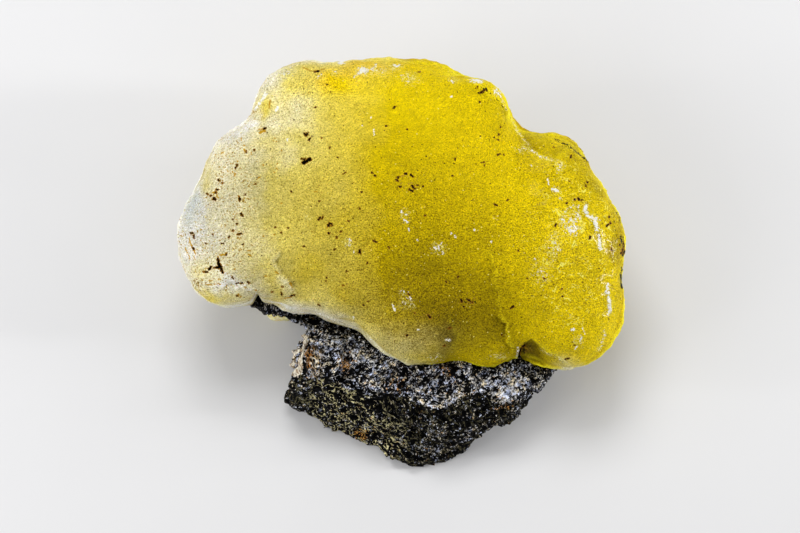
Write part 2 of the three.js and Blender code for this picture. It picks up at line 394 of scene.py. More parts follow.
# ---- The crust ----
# A patch is x, y, half width, half height and strength. A drawn line is half width, strength and corners.
CRUST_CELL = 0.42
DETAIL_SPLITS = 2  # how often faces at marks and sharp edges are split in four
DEEP_YELLOW = srgb(228, 202, 2)
PALE_YELLOW = srgb(224, 208, 106)
LEMON = srgb(255, 240, 34)
CHALK = srgb(232, 230, 216)
GREY = srgb(182, 190, 188)
AMBER = srgb(238, 182, 8)
OLIVE = srgb(132, 110, 4)
UMBER = srgb(96, 66, 24)
SNOW = srgb(255, 253, 238)
CREAM = srgb(250, 236, 120)
DARK_OLIVE = srgb(74, 50, 4)
LEMON_THREAD = srgb(255, 246, 110)
PALE_THREAD = srgb(255, 246, 150)
OCHRE = srgb(196, 152, 36)
RUST = srgb(186, 150, 50)
DARK_RUST = srgb(60, 34, 8)
CRACK_AND_SHADE = srgb(24, 20, 2)
PIT_RIM = srgb(156, 106, 20)
PIT_BOTTOM = srgb(12, 7, 3)

PALER_PATCHES = [  # how much paler
    (-26, 37, 5, 4, 0.25), (-34, 26, 3.5, 2.5, 0.5), (-21, 28, 6, 6, 0.17), (-29, 3, 5, 4, 0.12),
    (-10, -9, 8, 4, 0.07), (-27, 21, 8, 3, 0.12), (-8, 33, 5, 3, 0.1), (-26, 27, 2.4, 2, 0.2),
    (-42, 6, 3, 5, 0.4), (-34, -4.6, 5, 1.2, 0.3), (33, -20.4, 2.4, 1.1, 0.5),
]
YELLOWER_PATCHES = [  # how much yellower
    (-15, 35, 6, 3, 0.35), (-7, 34, 7, 5, 0.12), (-39.4, 17, 2, 4, 0.25), (-27.6, 30.2, 1.6, 3, 0.3),
    (-38, -7.6, 4, 1.6, 0.45), (-41, -1, 3, 3, 0.2), (-19, -1, 4, 4, 0.2),
]
GREY_PATCHES = [  # how much greyer
    (-43.6, 12, 2.2, 4.6, 0.8), (-29.6, -5.6, 3, 1.6, 0.15), (0, -16, 8, 3, 0.25), (-29, 16, 2.2, 5, 0.25),
]
TONE_SHADE_AND_LIGHT_PATCHES = [  # painted shade where darker and painted light where lighter, with some of the crust's own tone: how much darker, or lighter if negative
    (3, -12, 9, 7, 0.17), (9, -15, 4.6, 5, 0.42), (15.4, -15.6, 3.4, 4, 0.3), (3.2, -16, 2.6, 3, -0.08),
    (18, -12, 4, 6, 0.1), (20, 5, 14, 8, 0.07), (6, -3, 6, 4, 0.18), (3.2, -9, 3.4, 3, 0.22),
    (9.4, -8.6, 3, 3, 0.05), (15, -9, 3, 3, 0.13), (-15, 0, 5, 6, 0.12), (21, -15, 3, 3, 0.14),
    (27, -9, 3.5, 3, 0.19), (27, -14, 3, 4, 0.14), (21, 26.6, 3, 3, 0.12), (9, 27, 3, 3, 0.07),
    (24, 19, 6, 5, 0.05), (-4, 20, 12, 5, 0.05), (34, -6, 4, 5, 0.07), (-39, 8, 4, 8, 0.12),
    (-12, 34, 9, 4, -0.06), (38, 3, 6, 20, 0.12), (15, 5, 5, 5, 0.16), (3, 3, 7, 5, 0.18),
    (20, -9, 4, 6, 0.2), (26, -3, 4, 3, 0.1), (-25, 12, 5, 5, 0.11), (-16, 9, 5, 4, 0.16),
    (-40, 15, 2.6, 3, 0.12), (36, 21, 6, 4, 0.22), (38, 15, 3, 3, 0.34), (-22, 31, 7, 6, -0.2),
    (-9, -15, 3, 3, -0.2), (-9, 36, 6, 4, -0.1), (-37, -3, 6, 4.5, -0.26), (-29, 3, 5, 4, -0.08),
    (-21, -9, 6, 3, -0.14), (33, 6, 3.4, 4, -0.26), (30, -15, 5, 5, -0.1),
]
AMBER_PATCHES = [(-9, 39, 8, 2.2, 0.5), (-17, 36, 3, 2, 0.4)]
OLIVE_AND_SHADE_PATCHES = [  # olive tone, and painted shade in the lower middle of the dome, beside the lobes and the seam and in the notch: how much more olive
    (10, -10, 10, 7, 0.66), (0, -4, 15, 11, 0.5), (-7, -12, 7, 5, 0.4), (3, 13, 18, 9, 0.3),
    (26, 25, 2.2, 2, 0.5), (34, 23, 3.2, 1.6, 0.25), (43, 4, 1.6, 9, 0.55), (25.4, -17.8, 2.6, 2.2, 1),
    (17.4, -12, 2.6, 3.4, 0.5), (8.6, -12.6, 1.6, 3, 0.4), (20.4, 31.2, 1.6, 1.4, 0.4),
]

SHOULDER_EDGE = [(12, 36.4), (16.8, 34.2), (18.8, 32.4), (22, 29)]
SEAM = [(21.8, 29), (23.4, 26), (24.8, 23.4), (27.4, 21.4), (30.6, 19.8), (34, 18.4)]
RIM_EDGE = [(31, 24.4), (35.6, 20.4), (39.6, 14.8), (42, 8), (43, 1), (42.6, -7)]
MIDDLE_LOBE_TOP = [(14.6, 2.6), (17.2, 1.6), (18, -1), (18.1, -4), (18.7, -6), (19, -8.4), (19.4, -10.6)]
MIDDLE_LOBE_SIDE = [
    (18.8, -9.4), (19.5, -11), (20.3, -12.2), (20.6, -14), (20.4, -15.6), (21.2, -16.8), (22.2, -18.2)]
NOTCH_EDGE = [
    (25.4, -14.9), (26.6, -16), (27.4, -17), (28.4, -17.9), (30.6, -18.6), (32, -19.8), (33.8, -20.8)]
NOTCH_SIDE = [(25.2, -15.1), (24.2, -15.8), (23.4, -16.8), (23, -18), (22.8, -20)]
MIDDLE_LOBE_CREASE = [(8, -9.4), (9.4, -11.2), (10.2, -12.6), (10.5, -14.2), (10.2, -15.8), (9.4, -18)]
LOW_LEFT_EDGE = [(-24.2, 3.6), (-25.2, 0.6), (-24.4, -2.4), (-22.4, -4.8), (-21.4, -7)]
LOW_LEFT_LOBE_EDGE = [(-36, -5), (-31, -4), (-28.4, -6)]
LOWER_EDGE = [(-27, -8), (-20.6, -11), (-10.6, -15), (-5.6, -19), (1.4, -21), (8, -20)]

LEDGES = [  # depth, reach of the lower ground, its side (1 left, -1 right), fades at both ends, corners
    (0.5, 2, -1, 0.2, 0.05, SHOULDER_EDGE),
    (0.6, 2.4, 1, 0.1, 0.5, SEAM),
    (0.3, 4, -1, 0.3, 0.1, MIDDLE_LOBE_TOP),
    (0.7, 2.5, -1, 0.2, 0.1, MIDDLE_LOBE_SIDE),
    (0.8, 1.5, -1, 0.3, 0.3, NOTCH_EDGE),
    (0.6, 3, 1, 0.3, 0.2, LOW_LEFT_EDGE),
    (0.5, 3, 1, 0.2, 0.2, LOW_LEFT_LOBE_EDGE),
    (0.3, 2, -1, 0.2, 0.2, MIDDLE_LOBE_CREASE),
    (0.4, 2, 1, 0.2, 0.2, [(29, 20), (33, 23.4), (38, 19.6)]),
    (0.4, 1.6, -1, 0.2, 0.2, [(35.8, 12), (37.4, 9), (39.2, 4.6), (39.4, 2)]),
    (0.4, 1.6, -1, 0.2, 0.2, [(40.4, -4), (41.2, -8), (41.2, -11)]),
]
NOTCH_MIDDLE, NOTCH_DEPTH = (27, -19), 2.4
PIT_DEPTH = 0.8
FLAKE_WIDTH, FLAKE_DEPTH = 0.8, 0.22  # of the steps outside the rim's edge
CRUST_PUSHES = [  # a patch's place, and how far the surface there moves to the right and up
    (-29.2, -8.2, 0.65, 1.6, 0, 1.9), (-19, -11.4, 3, 1.8, 0, 0.8), (-13.8, -13.4, 3, 1.8, 0, 0.5),
]

GLOSS_PLACE, FINE_PLACE = (34, 3, 8, 16), (2, 29, 12, 8)
COARSE_PATCHES = [  # how much coarser the grain is
    (3, -9, 14, 9, 0.85), (0, 5, 12, 7, 0.5), (36, 0, 8, 14, 0.3), (24, 4, 9, 12, 0.3),
    (-20, 36, 9, 5, 0.3),
]
FROST_AND_HIGHLIGHT_LINES = [  # white frosting along the seam, and painted highlights in streaks on the right lobe, along edges by the notch and at the top: how thick with white flecks
    (0.5, 0.42, [(19.4, 32.6), (21.6, 29.6), (22.8, 26.6), (23.6, 25.6), (24.2, 24.8), (25.2, 23.2),
                 (25.6, 22.4)]),
    (0.5, 0.45, [(25.6, 22.4), (27.2, 21.1), (29, 20.6), (30.6, 20.2), (31.4, 19)]),
    (0.5, 0.4, [(27, -16.6), (28.4, -17.9), (30.6, -18.6), (32, -19.8), (33.4, -20.6)]),
    (0.35, 0.7, [(22.8, -16.4), (22.9, -18), (22.6, -19.6)]),
    (0.5, 0.95, [(36.2, 12.2), (36, 10.2), (36.6, 9.4), (37.2, 9.2), (38, 8.2), (38.3, 7), (38.2, 6)]),
    (0.45, 0.95, [(38.6, 6), (38.9, 5), (38.9, 3.4), (39.4, 2.4)]),
    (0.3, 0.7, [(38, 9.2), (38.9, 8.2)]),
    (0.25, 0.9, [(34.6, 11.6), (34.4, 9.8), (35.2, 8.4)]),
    (0.3, 0.6, [(34.2, 11.7), (33, 11), (31.8, 10), (31.5, 9)]),
    (0.4, 0.75, [(30.6, 8.6), (32.2, 8.2)]),
    (0.3, 0.7, [(32.6, 7.8), (33.4, 7.2), (33.8, 6.2)]),
    (0.3, 0.6, [(32.2, 6.4), (33.6, 6), (34.6, 5.2)]),
    (0.3, 0.55, [(30.6, 13), (32, 12.3)]),
    (0.5, 0.85, [(40.5, -3.6), (40.3, -5.7), (40.9, -7.4), (40.9, -9.5), (40.7, -10.8)]),
    (0.5, 0.5, [(40.1, -13), (39.4, -16.4), (38.4, -17.8)]),
    (0.4, 0.9, [(-29.7, 30.2), (-28.4, 32), (-26.7, 34)]),
    (0.3, 0.7, [(-17.2, 36.6), (-16, 37.6)]),
    (0.25, 0.8, [(-9.9, 36.8), (-9, 37.6), (-8.2, 38)]),
    (0.25, 0.7, [(-9.2, 36.2), (-9, 35.2)]),
    (0.25, 0.8, [(-6.6, 38.4), (-5.6, 39.2), (-5.4, 40)]),
    (0.3, 0.6, [(0.9, 35.6), (1.1, 37), (0.8, 38)]),
    (0.25, 0.7, [(17.8, 34.6), (19.2, 33.6), (20.2, 32)]),
]
FROST_AND_HIGHLIGHT_PATCHES = [  # painted glints in the middle, painted highlights at the top and on the right lobe, and some white frosting: how thick with white flecks
    (-8.1, 38.4, 1.2, 0.9, 0.95), (-13.6, 37.8, 0.8, 0.6, 0.6), (-12.4, 40, 0.9, 0.5, 0.9),
    (-1.2, 39.4, 1.2, 0.6, 0.75), (-5, 38.2, 3.4, 1.6, 0.42), (1.4, 36.6, 2.6, 1.8, 0.42),
    (-23.4, 37.8, 2.6, 1.6, 0.5), (14.8, 36.3, 1.7, 0.7, 0.95), (19, 34.2, 1.4, 1.2, 0.6),
    (10, 36.4, 1.6, 1, 0.4), (-10.8, 4, 1, 1.4, 0.45), (0.4, 9.2, 1.4, 1.8, 0.4), (7, 2.8, 1.8, 1.6, 0.45),
    (0, -5.6, 1, 0.6, 0.6), (1, -8, 2.6, 2, 0.35), (-18.6, 9, 1.2, 0.8, 0.4), (27, -2, 3, 3, 0.35),
    (18.4, 9, 0.9, 0.5, 0.5), (8.9, -15.3, 0.7, 0.4, 0.7), (24, 22.6, 2.2, 1.2, 0.42),
    (31, 19.2, 1.2, 1.4, 0.55), (30.2, 14.4, 1, 0.9, 0.6), (33.4, 6.6, 1.8, 1.4, 0.5),
    (29.6, 3.4, 2, 3, 0.42), (33, -10.4, 1.2, 0.8, 0.42), (34.6, -15.6, 1.4, 1.8, 0.42),
    (33.2, 8.4, 2.6, 2.6, 0.45), (19, -18.6, 2.4, 1, 0.42), (6.4, -19, 2.4, 1.4, 0.42),
]
CRACK_AND_SHADE_LINES = [  # dark cracks and layer lines, and painted shade in the creases under the shoulder, beside the middle lobe and in the notch: how dark
    (0.3, 0.5, [(14, 35.6), (16.8, 34.2), (18.8, 32.4), (21.6, 29.4)]),
    (0.35, 1, [(14.8, 33.6), (15.8, 34), (16.8, 34.6)]),
    (0.35, 0.75, [(29.8, 25), (32.6, 23.6), (35.4, 21.6), (37.8, 19.6)]),
    (0.3, 0.5, [(20, 27.8), (22, 29.4)]),
    (0.35, 0.6, [(38.4, 18.2), (40.2, 15.4), (41.6, 12.8), (42.4, 11), (43, 9), (43.5, 7.2)]),
    (0.3, 0.5, [(41.6, 8.6), (42.3, 6.2), (42.8, 4.4)]),
    (0.7, 0.75, [(43.2, 5.8), (43.9, 3.6), (43.9, 1)]),
    (0.3, 0.5, [(41.1, 4.2), (41.3, 2.8), (41.8, 1.6)]),
    (0.6, 0.9, [(43.9, -0.6), (43.6, -2.8), (43.7, -5.4)]),
    (0.3, 0.4, [(9, -10.6), (10.1, -12.4), (10.4, -14)]),
    (0.4, 0.6, [(-23.2, -7), (-21.2, -6.2)]),
    (0.7, 0.6, [(24, -15.6), (24, -17), (24, -18.6)]),
    (0.5, 0.7, [(11.6, -7.2), (13, -7.6), (14.6, -7.8)]),
]
PITS = [  # x, y and half width at one end of a dark mark and, unless it is round, at its other end
    (-19.6, 19.7, 0.32, -18.3, 20.4, 0.34), (-20, 20.5, 0.14, -19.2, 20.4, 0.12),
    (-36.6, 0.9, 0.14, -36.4, -0.2, 0.3), (-36.4, -0.2, 0.3, -36.2, -0.8, 0.34),
    (-36.2, -0.8, 0.34, -37.4, -1, 0.07), (-36, -0.9, 0.24, -35.6, -2, 0.15),
    (-38, -0.8, 0.18, -38.3, -1.2, 0.28), (-39.5, -1.7, 0.1, -38.8, -1.8, 0.16),
    (-19.4, 25.5, 0.16, -19.1, 25.1, 0.16), (-19.1, 25.1, 0.14, -18.8, 25.6, 0.14),
    (-18.5, 24.2, 0.17, -18.2, 24.7, 0.1), (-27.3, 26.7, 0.2, -27.7, 26.5, 0.1),
    (-29.4, 22.3, 0.18, -29.3, 22.3, 0.12), (-31, 22.1, 0.13, -31, 21.8, 0.08),
    (-32.9, 19.5, 0.16, -32.9, 19.2, 0.16), (-33.1, 18.9, 0.14, -33.1, 18.8, 0.1),
    (-36.6, 16.5, 0.18, -36.4, 16.3, 0.1), (-35.7, 15.9, 0.14, -35.7, 15.8, 0.1),
    (-37, 14.5, 0.14, -36.6, 14.5, 0.14), (-37.1, 13.9, 0.14, -37, 13.9, 0.14),
    (-38.9, 13.8, 0.12, -38.7, 13.6, 0.12), (-38.1, 13.3, 0.12, -38, 13.3, 0.1),
    (-37.4, 12.7, 0.28, -37.2, 12.6, 0.2), (-32.3, 12.8, 0.2, -32.2, 12.3, 0.17),
    (-31.2, 13.5, 0.1, -31.1, 13.5, 0.1), (-29.1, 15.5, 0.17), (-31.9, 9.7, 0.2, -31.7, 9.3, 0.16),
    (-33.6, 8.6, 0.12, -33.6, 8.5, 0.1), (-32.8, 7.7, 0.12), (-33.6, 6.4, 0.17),
    (-32.6, 5.7, 0.1, -31.9, 5.8, 0.14), (-34.3, 5.3, 0.1, -34.4, 5, 0.14), (-37.6, 5.6, 0.13),
    (-35.9, 3.8, 0.1, -35.5, 3.8, 0.1), (-39.1, 3.8, 0.13, -38.9, 3.8, 0.1),
    (-31.7, 3.6, 0.1, -31.5, 3.8, 0.1), (-34.9, 1.7, 0.17, -34.8, 1.7, 0.14),
    (-42.2, 6, 0.13, -41.7, 5.9, 0.16), (-41.5, 5.4, 0.18, -41.4, 4.9, 0.08),
    (-41.7, 3.2, 0.1, -41.5, 2.9, 0.2), (-33, -4.1, 0.08, -32.6, -4, 0.12),
    (-32.1, -4.1, 0.1, -31.8, -4, 0.14), (-30.8, -3.8, 0.1, -30.5, -4, 0.12),
    (-33.8, -2.8, 0.08, -33.6, -3.1, 0.08), (-33, -6.5, 0.12, -32.9, -6.5, 0.12), (-23.9, -4.7, 0.15),
    (-24.2, -5.8, 0.12, -24.1, -6.3, 0.12), (-26.1, -5.7, 0.1, -26, -5.7, 0.1),
    (-22.3, -6.6, 0.1, -21.6, -6.4, 0.1), (-25.2, 7, 0.13, -25.2, 7.1, 0.1),
    (-22.7, 6.9, 0.15, -22.6, 6.9, 0.12), (-24, 6, 0.13), (-22, 14, 0.14), (-12.8, 20.7, 0.13),
    (-11.7, 17.4, 0.08, -11.3, 17.8, 0.08), (-16.5, 12.2, 0.13, -16.4, 12.2, 0.1),
    (-16.6, 8.5, 0.15, -16.3, 8.9, 0.15), (-15.9, 8.7, 0.1, -15.7, 9.1, 0.08),
    (-14.7, 7.3, 0.2, -14.4, 7.8, 0.17), (-14.4, 7.8, 0.17, -13.9, 7.5, 0.17),
    (-14.6, 5.9, 0.17, -14.5, 5.9, 0.14), (-12.2, 6.2, 0.14, -12.2, 6.1, 0.1),
    (-13.1, 5.2, 0.1, -13.1, 4.9, 0.13), (-19.6, 3.3, 0.12, -19.5, 3.3, 0.1),
    (-13.4, 2.7, 0.17, -13.3, 2.7, 0.12), (-8.5, 2.5, 0.2, -8.5, 2.1, 0.27),
    (-5.8, 4.3, 0.14, -5.2, 4.1, 0.1), (-2.8, 3.1, 0.16), (-5.5, 17.1, 0.2),
    (-6.1, 17.7, 0.14, -6.1, 17.8, 0.1), (-8.2, 13.9, 0.1, -8, 13.9, 0.1),
    (-8.5, 10.6, 0.13, -8.5, 10.7, 0.1), (-10.8, 8.3, 0.07, -10.5, 8.1, 0.07), (-1, 16.8, 0.22),
    (-1.4, 16.3, 0.12, -1, 16.1, 0.12), (-0.7, 15, 0.14, -0.5, 15, 0.14),
    (0.4, 17.5, 0.17, 0.7, 17.4, 0.14), (1.5, 17.3, 0.17, 1.9, 16.9, 0.14),
    (1.7, 15.2, 0.1, 2.2, 14.6, 0.17), (2.7, 15.3, 0.1, 2.9, 15.3, 0.13), (1.2, 14.4, 0.1, 1.9, 14, 0.13),
    (3.9, 15, 0.13), (4.3, 9.3, 0.14), (-15.1, 35.4, 0.14, -15, 35.4, 0.14),
    (-17.5, 38, 0.12, -16.8, 38.1, 0.16), (-17.4, 30.7, 0.12, -17.2, 30.7, 0.1), (-3.3, 26.9, 0.16),
    (-1.6, 30.8, 0.12, -1.9, 30.4, 0.1), (0.8, 26.2, 0.14), (-16, 24.6, 0.13, -15.9, 24.6, 0.1),
    (-14.4, 22.7, 0.13, -14.4, 22.8, 0.1), (3.1, 38.1, 0.1, 3.3, 38.1, 0.12),
    (0.5, -14.3, 0.12, 0.9, -14.3, 0.17), (-11.1, -1.6, 0.14, -11, -1.6, 0.1), (-15.1, -2.9, 0.12),
    (-15.3, -3.6, 0.1), (-11.9, -4.4, 0.1, -11.7, -4.4, 0.13), (-7.1, 0, 0.13),
    (-7.8, -8.4, 0.16, -7.7, -8.4, 0.12), (-6.9, -7.6, 0.13), (-16.9, -8.2, 0.08, -16.6, -8.4, 0.1),
    (5, -10.3, 0.14, 5.4, -10.8, 0.17), (1, -6.1, 0.1, 1.3, -6.3, 0.1), (2.3, -9.9, 0.1),
    (11.5, -7.2, 0.13, 11.6, -7.6, 0.2), (13, -7.4, 0.19, 13.1, -7.3, 0.12), (13.7, -7.8, 0.13),
    (12, -8.6, 0.13), (10.8, -2.8, 0.15, 10.9, -2.7, 0.12), (8.5, -3.7, 0.13, 8.6, -3.8, 0.1),
    (21.3, -8.9, 0.13, 21.8, -8.6, 0.2), (9.1, -12.9, 0.14, 9.4, -12.9, 0.14),
    (8, -16.5, 0.1, 8.3, -16.4, 0.12), (19.6, -14.3, 0.14), (23.8, -16.6, 0.2, 24.3, -16.5, 0.14),
    (23.5, -17, 0.16, 23.3, -18.4, 0.12), (27.8, -3.1, 0.15), (24.5, -3, 0.11), (31.3, -5.1, 0.16),
    (31.4, -6.6, 0.12), (33.9, -16.2, 0.12), (32.3, -19.1, 0.1, 32.8, -18.9, 0.12), (22.7, 2.4, 0.17),
    (18, 11.6, 0.14, 18.4, 11.3, 0.16), (20.4, 12.3, 0.1, 20.6, 12.4, 0.12),
    (16, 19.9, 0.12, 15.9, 19.9, 0.12), (16.1, 19.2, 0.13), (10.2, 20.3, 0.13, 10.3, 20.5, 0.13),
    (18.8, 21.4, 0.16, 19.1, 21.6, 0.13), (20, 21.5, 0.11), (19, 25.5, 0.16), (18.9, 24.5, 0.13),
    (18.1, 24.9, 0.1), (19.4, 27, 0.14), (15.2, 31.9, 0.14, 15.3, 31.9, 0.12),
    (15.4, 33.9, 0.17, 16.2, 34.3, 0.07), (14.8, 35, 0.12), (30, 23.1, 0.13),
    (33.3, 21, 0.12, 33.5, 21.4, 0.12), (9.6, 17.1, 0.08, 9.8, 17.1, 0.1),
    (33.9, 12.5, 0.16, 34, 12.5, 0.12), (34.6, 12.9, 0.14, 34.8, 12.5, 0.2),
    (35.3, 12.5, 0.12, 35.5, 12.5, 0.12), (32.3, 11.8, 0.16), (36.6, 16, 0.16), (36.3, 15.3, 0.16),
    (32.9, 16.2, 0.13), (30.1, 7.6, 0.16, 29.9, 7.3, 0.13), (36.9, 5.2, 0.16, 36.9, 4.9, 0.17),
    (40.4, 7.4, 0.2, 40.8, 7.8, 0.08), (41.1, 7.9, 0.16), (40.9, 9.2, 0.1, 40.9, 9, 0.12),
    (43.1, 3.6, 0.16, 43.2, 3.6, 0.12), (44, 4, 0.16, 44.2, 3.4, 0.16), (43.8, 2.7, 0.18, 43.7, 2.6, 0.14),
    (43.3, 1.9, 0.14, 43.6, 2.2, 0.14), (44.2, 2.3, 0.24, 44.2, 1.9, 0.16), (41.2, 3, 0.1, 41.4, 2.4, 0.1),
]
STAINS = [  # the same for ochre marks
    (-28.6, 25.8, 0.2, -27.5, 26.2, 0.34), (-28.6, 26.5, 0.12, -28, 26.6, 0.2), (-37.4, 21.5, 0.17),
    (-35.6, 22.1, 0.15, -36.3, 21.6, 0.12), (-31.6, 22.6, 0.14, -31, 21.9, 0.24),
    (-30, 21.9, 0.1, -30, 21.5, 0.12), (-30.6, 21.2, 0.12, -30.4, 21.2, 0.1),
    (-31.5, 23.2, 0.12, -31.4, 23.3, 0.1), (-32.1, 24.9, 0.1, -32.1, 24.3, 0.12),
    (-32.8, 20.1, 0.14, -32.7, 20.2, 0.1), (-32.9, 19.5, 0.24, -33, 18.9, 0.2),
    (-33.2, 17.7, 0.16, -33.3, 17.2, 0.14), (-33.7, 18.1, 0.12, -33.6, 17.9, 0.12),
    (-34.2, 19.8, 0.12, -34.1, 19.7, 0.1), (-34.8, 18.3, 0.1, -34.4, 18, 0.12),
    (-35.9, 17.1, 0.17, -35.7, 17, 0.12), (-36.4, 16.2, 0.14, -36.2, 16.1, 0.1),
    (-38.9, 13.9, 0.16, -38.6, 13.5, 0.16), (-37.7, 13.9, 0.16, -37, 14, 0.26),
    (-36.9, 13.4, 0.1, -36.5, 12.9, 0.12), (-35.8, 12.9, 0.13, -35.7, 13, 0.1),
    (-32.4, 13.2, 0.17, -32.4, 12.6, 0.24), (-31.4, 12.7, 0.1, -31.1, 12.8, 0.1),
    (-29.5, 10.9, 0.14, -29.4, 10.8, 0.1), (-27.7, 19.4, 0.14, -27.5, 19.3, 0.12),
    (-28.7, 16.6, 0.08, -28.2, 17, 0.1), (-25.6, 18.1, 0.12, -25.3, 17.9, 0.12),
    (-24.9, 18.6, 0.12, -24.7, 18.4, 0.12), (-24.8, 19.6, 0.14, -24.7, 19.6, 0.1),
    (-25.3, 24.7, 0.15, -25.2, 24.6, 0.1), (-25.7, 24.2, 0.08, -25, 24, 0.12),
    (-24.1, 22.2, 0.14, -23.9, 22.2, 0.1), (-24.1, 11.7, 0.1, -23.9, 11.8, 0.12),
    (-33.5, 9.7, 0.14, -33.5, 9.6, 0.1), (-32.9, 9.7, 0.14), (-33, 8.6, 0.12, -32.8, 8.4, 0.12),
    (-32.8, 7.8, 0.17, -32.8, 7.7, 0.14), (-32.8, 5.5, 0.16, -32.4, 5.8, 0.1),
    (-32.4, 4.8, 0.14, -32.3, 4.7, 0.1), (-31.6, 3.6, 0.14, -31.5, 3.9, 0.12),
    (-32, 2.6, 0.12, -31.8, 2.5, 0.1), (-30.8, 2.4, 0.1, -30.2, 2.4, 0.14), (-31.3, 1.7, 0.14),
    (-30.6, 1.7, 0.14, -30, 1.4, 0.1), (-34.9, 1.7, 0.25, -36.3, 1.5, 0.1),
    (-36.5, 1.4, 0.12, -36.6, 1, 0.2), (-39.1, -1.1, 0.1, -38.8, -1, 0.12),
    (-33.4, -1.1, 0.17, -33.2, -1.3, 0.17), (-34.8, -0.3, 0.12, -34.7, -0.4, 0.1),
    (-42.4, 4.9, 0.14, -42.3, 4.1, 0.2), (-42.3, 4.1, 0.16, -41.6, 2.9, 0.22),
    (-41.6, 2.9, 0.22, -41, 1.5, 0.1), (-43.3, 2.9, 0.12, -42.8, 2, 0.12),
    (-42.6, 1.8, 0.12, -42.3, 0.7, 0.14), (-41.4, 1.4, 0.1, -41.3, 0.5, 0.08),
    (-38.5, -3.5, 0.12, -37.9, -3.5, 0.14), (-36.5, -3.2, 0.1, -36.1, -3.1, 0.12),
    (-39.2, -4.3, 0.1, -38, -4.3, 0.1), (-37.4, -4.2, 0.1, -36.1, -4.2, 0.08),
    (-31.3, -4.8, 0.17, -31.2, -4.9, 0.14), (-29.5, -5.4, 0.1, -29.1, -5.5, 0.14),
    (-32.7, -6.3, 0.24, -32.2, -6.6, 0.2), (-25.2, -1.8, 0.12, -24.6, -2.1, 0.12),
    (-27.3, -2.6, 0.14, -27.1, -2.7, 0.1), (-22.3, -4, 0.26, -21.9, -4.8, 0.14),
    (-24.2, -7.2, 0.1, -22, -6.7, 0.12), (-25.4, 5.6, 0.16, -25.2, 5.6, 0.12),
    (-27.6, 5.4, 0.17, -27.5, 5.3, 0.14), (-20, 38.9, 0.14, -18.6, 38.3, 0.1),
    (-18.6, 38.3, 0.1, -16.8, 38, 0.2), (-16.4, 38.4, 0.1, -15.5, 38.7, 0.14),
    (-17.5, 30.7, 0.16, -17.2, 30.8, 0.14), (-17.4, 14, 0.08, -16.8, 14, 0.12),
    (-14.9, 6.9, 0.14, -14.4, 7.5, 0.24), (-17.7, -7.2, 0.13, -17.6, -7.2, 0.1),
    (1, 15.6, 0.08, 1.1, 15.1, 0.1), (-0.3, 17, 0.1, 0.2, 17.2, 0.1), (24.4, -16.8, 0.1, 24.8, -17.2, 0.12),
    (-18.7, 33.7, 0.12, -18.7, 33.5, 0.14), (-22.7, 33.1, 0.12, -22.6, 33.2, 0.1),
    (-26.4, 32.1, 0.2, -26.5, 30.6, 0.1),
]
GLINTS = [  # the same for white marks
    (0.6, 9.5, 0.17, 0.7, 9.5, 0.12), (-0.3, 10.3, 0.12, -0.3, 9.9, 0.12), (0.2, 8.5, 0.12, 0.9, 8, 0.1),
    (1, 6.7, 0.14, 1.2, 6.4, 0.12), (2.8, 4.6, 0.14, 3, 4.4, 0.1), (-10.5, 4.7, 0.17, -10.3, 4.4, 0.12),
    (-9.8, 2.3, 0.14, -9.7, 2.1, 0.1), (-6.4, 28.8, 0.1, -6.3, 28.6, 0.16),
    (-8.1, 26.9, 0.14, -8, 26.9, 0.1), (-5.8, 26.2, 0.09, -5.7, 25.2, 0.1),
    (-25.1, 30.2, 0.25, -24.8, 30.9, 0.25), (-22.9, 24.4, 0.2, -22.9, 24.1, 0.12),
    (1.3, -6.7, 0.12, 1.5, -7, 0.16), (2.9, -13.2, 0.16, 3.1, -13.2, 0.12),
    (-2.1, -8.3, 0.14, -1.6, -9.4, 0.1), (-9.9, -10.7, 0.2, -9.8, -11.1, 0.14),
    (8.5, -15.2, 0.12, 9.2, -15.3, 0.2), (33.2, -13.1, 0.2, 33.6, -13.1, 0.26),
    (35.3, -14.6, 0.12, 34.9, -15.4, 0.12), (34.4, -16.4, 0.12, 34, -17, 0.1),
    (35.4, -12.8, 0.1, 35.9, -14, 0.08), (9.5, 6, 0.1, 9.5, 5.7, 0.12), (10.2, 5.3, 0.15, 10.3, 5, 0.1),
    (14, 6.6, 0.14, 14, 6.4, 0.14), (6.2, 3, 0.17, 6.5, 2.7, 0.14), (6.9, 3.4, 0.12, 7, 3, 0.1),
    (7.5, 3.9, 0.12, 7.5, 3.7, 0.1), (7.8, 2.2, 0.14, 7.8, 1.8, 0.12), (17.3, 4.2, 0.12, 17.4, 4, 0.16),
    (25.6, 22.4, 0.15, 25.8, 22.3, 0.12), (27.2, 21.1, 0.17, 27.3, 21.1, 0.14),
    (26.7, 21.8, 0.1, 26.7, 21.7, 0.1), (28.6, 16.6, 0.12, 28.8, 15.6, 0.12),
    (29.5, 14.7, 0.2, 30.4, 14.3, 0.26), (25.4, 19.3, 0.14), (30.7, 3, 0.1, 31, 2.4, 0.12),
    (9.6, 36.3, 0.12, 9.9, 35.9, 0.1), (9.6, 33, 0.17, 9.5, 33, 0.14), (-27.4, 34, 0.14, -28, 32.6, 0.1),
    (26, 0.8, 0.14), (44.6, 2, 0.12, 44.7, 1.2, 0.12),
]
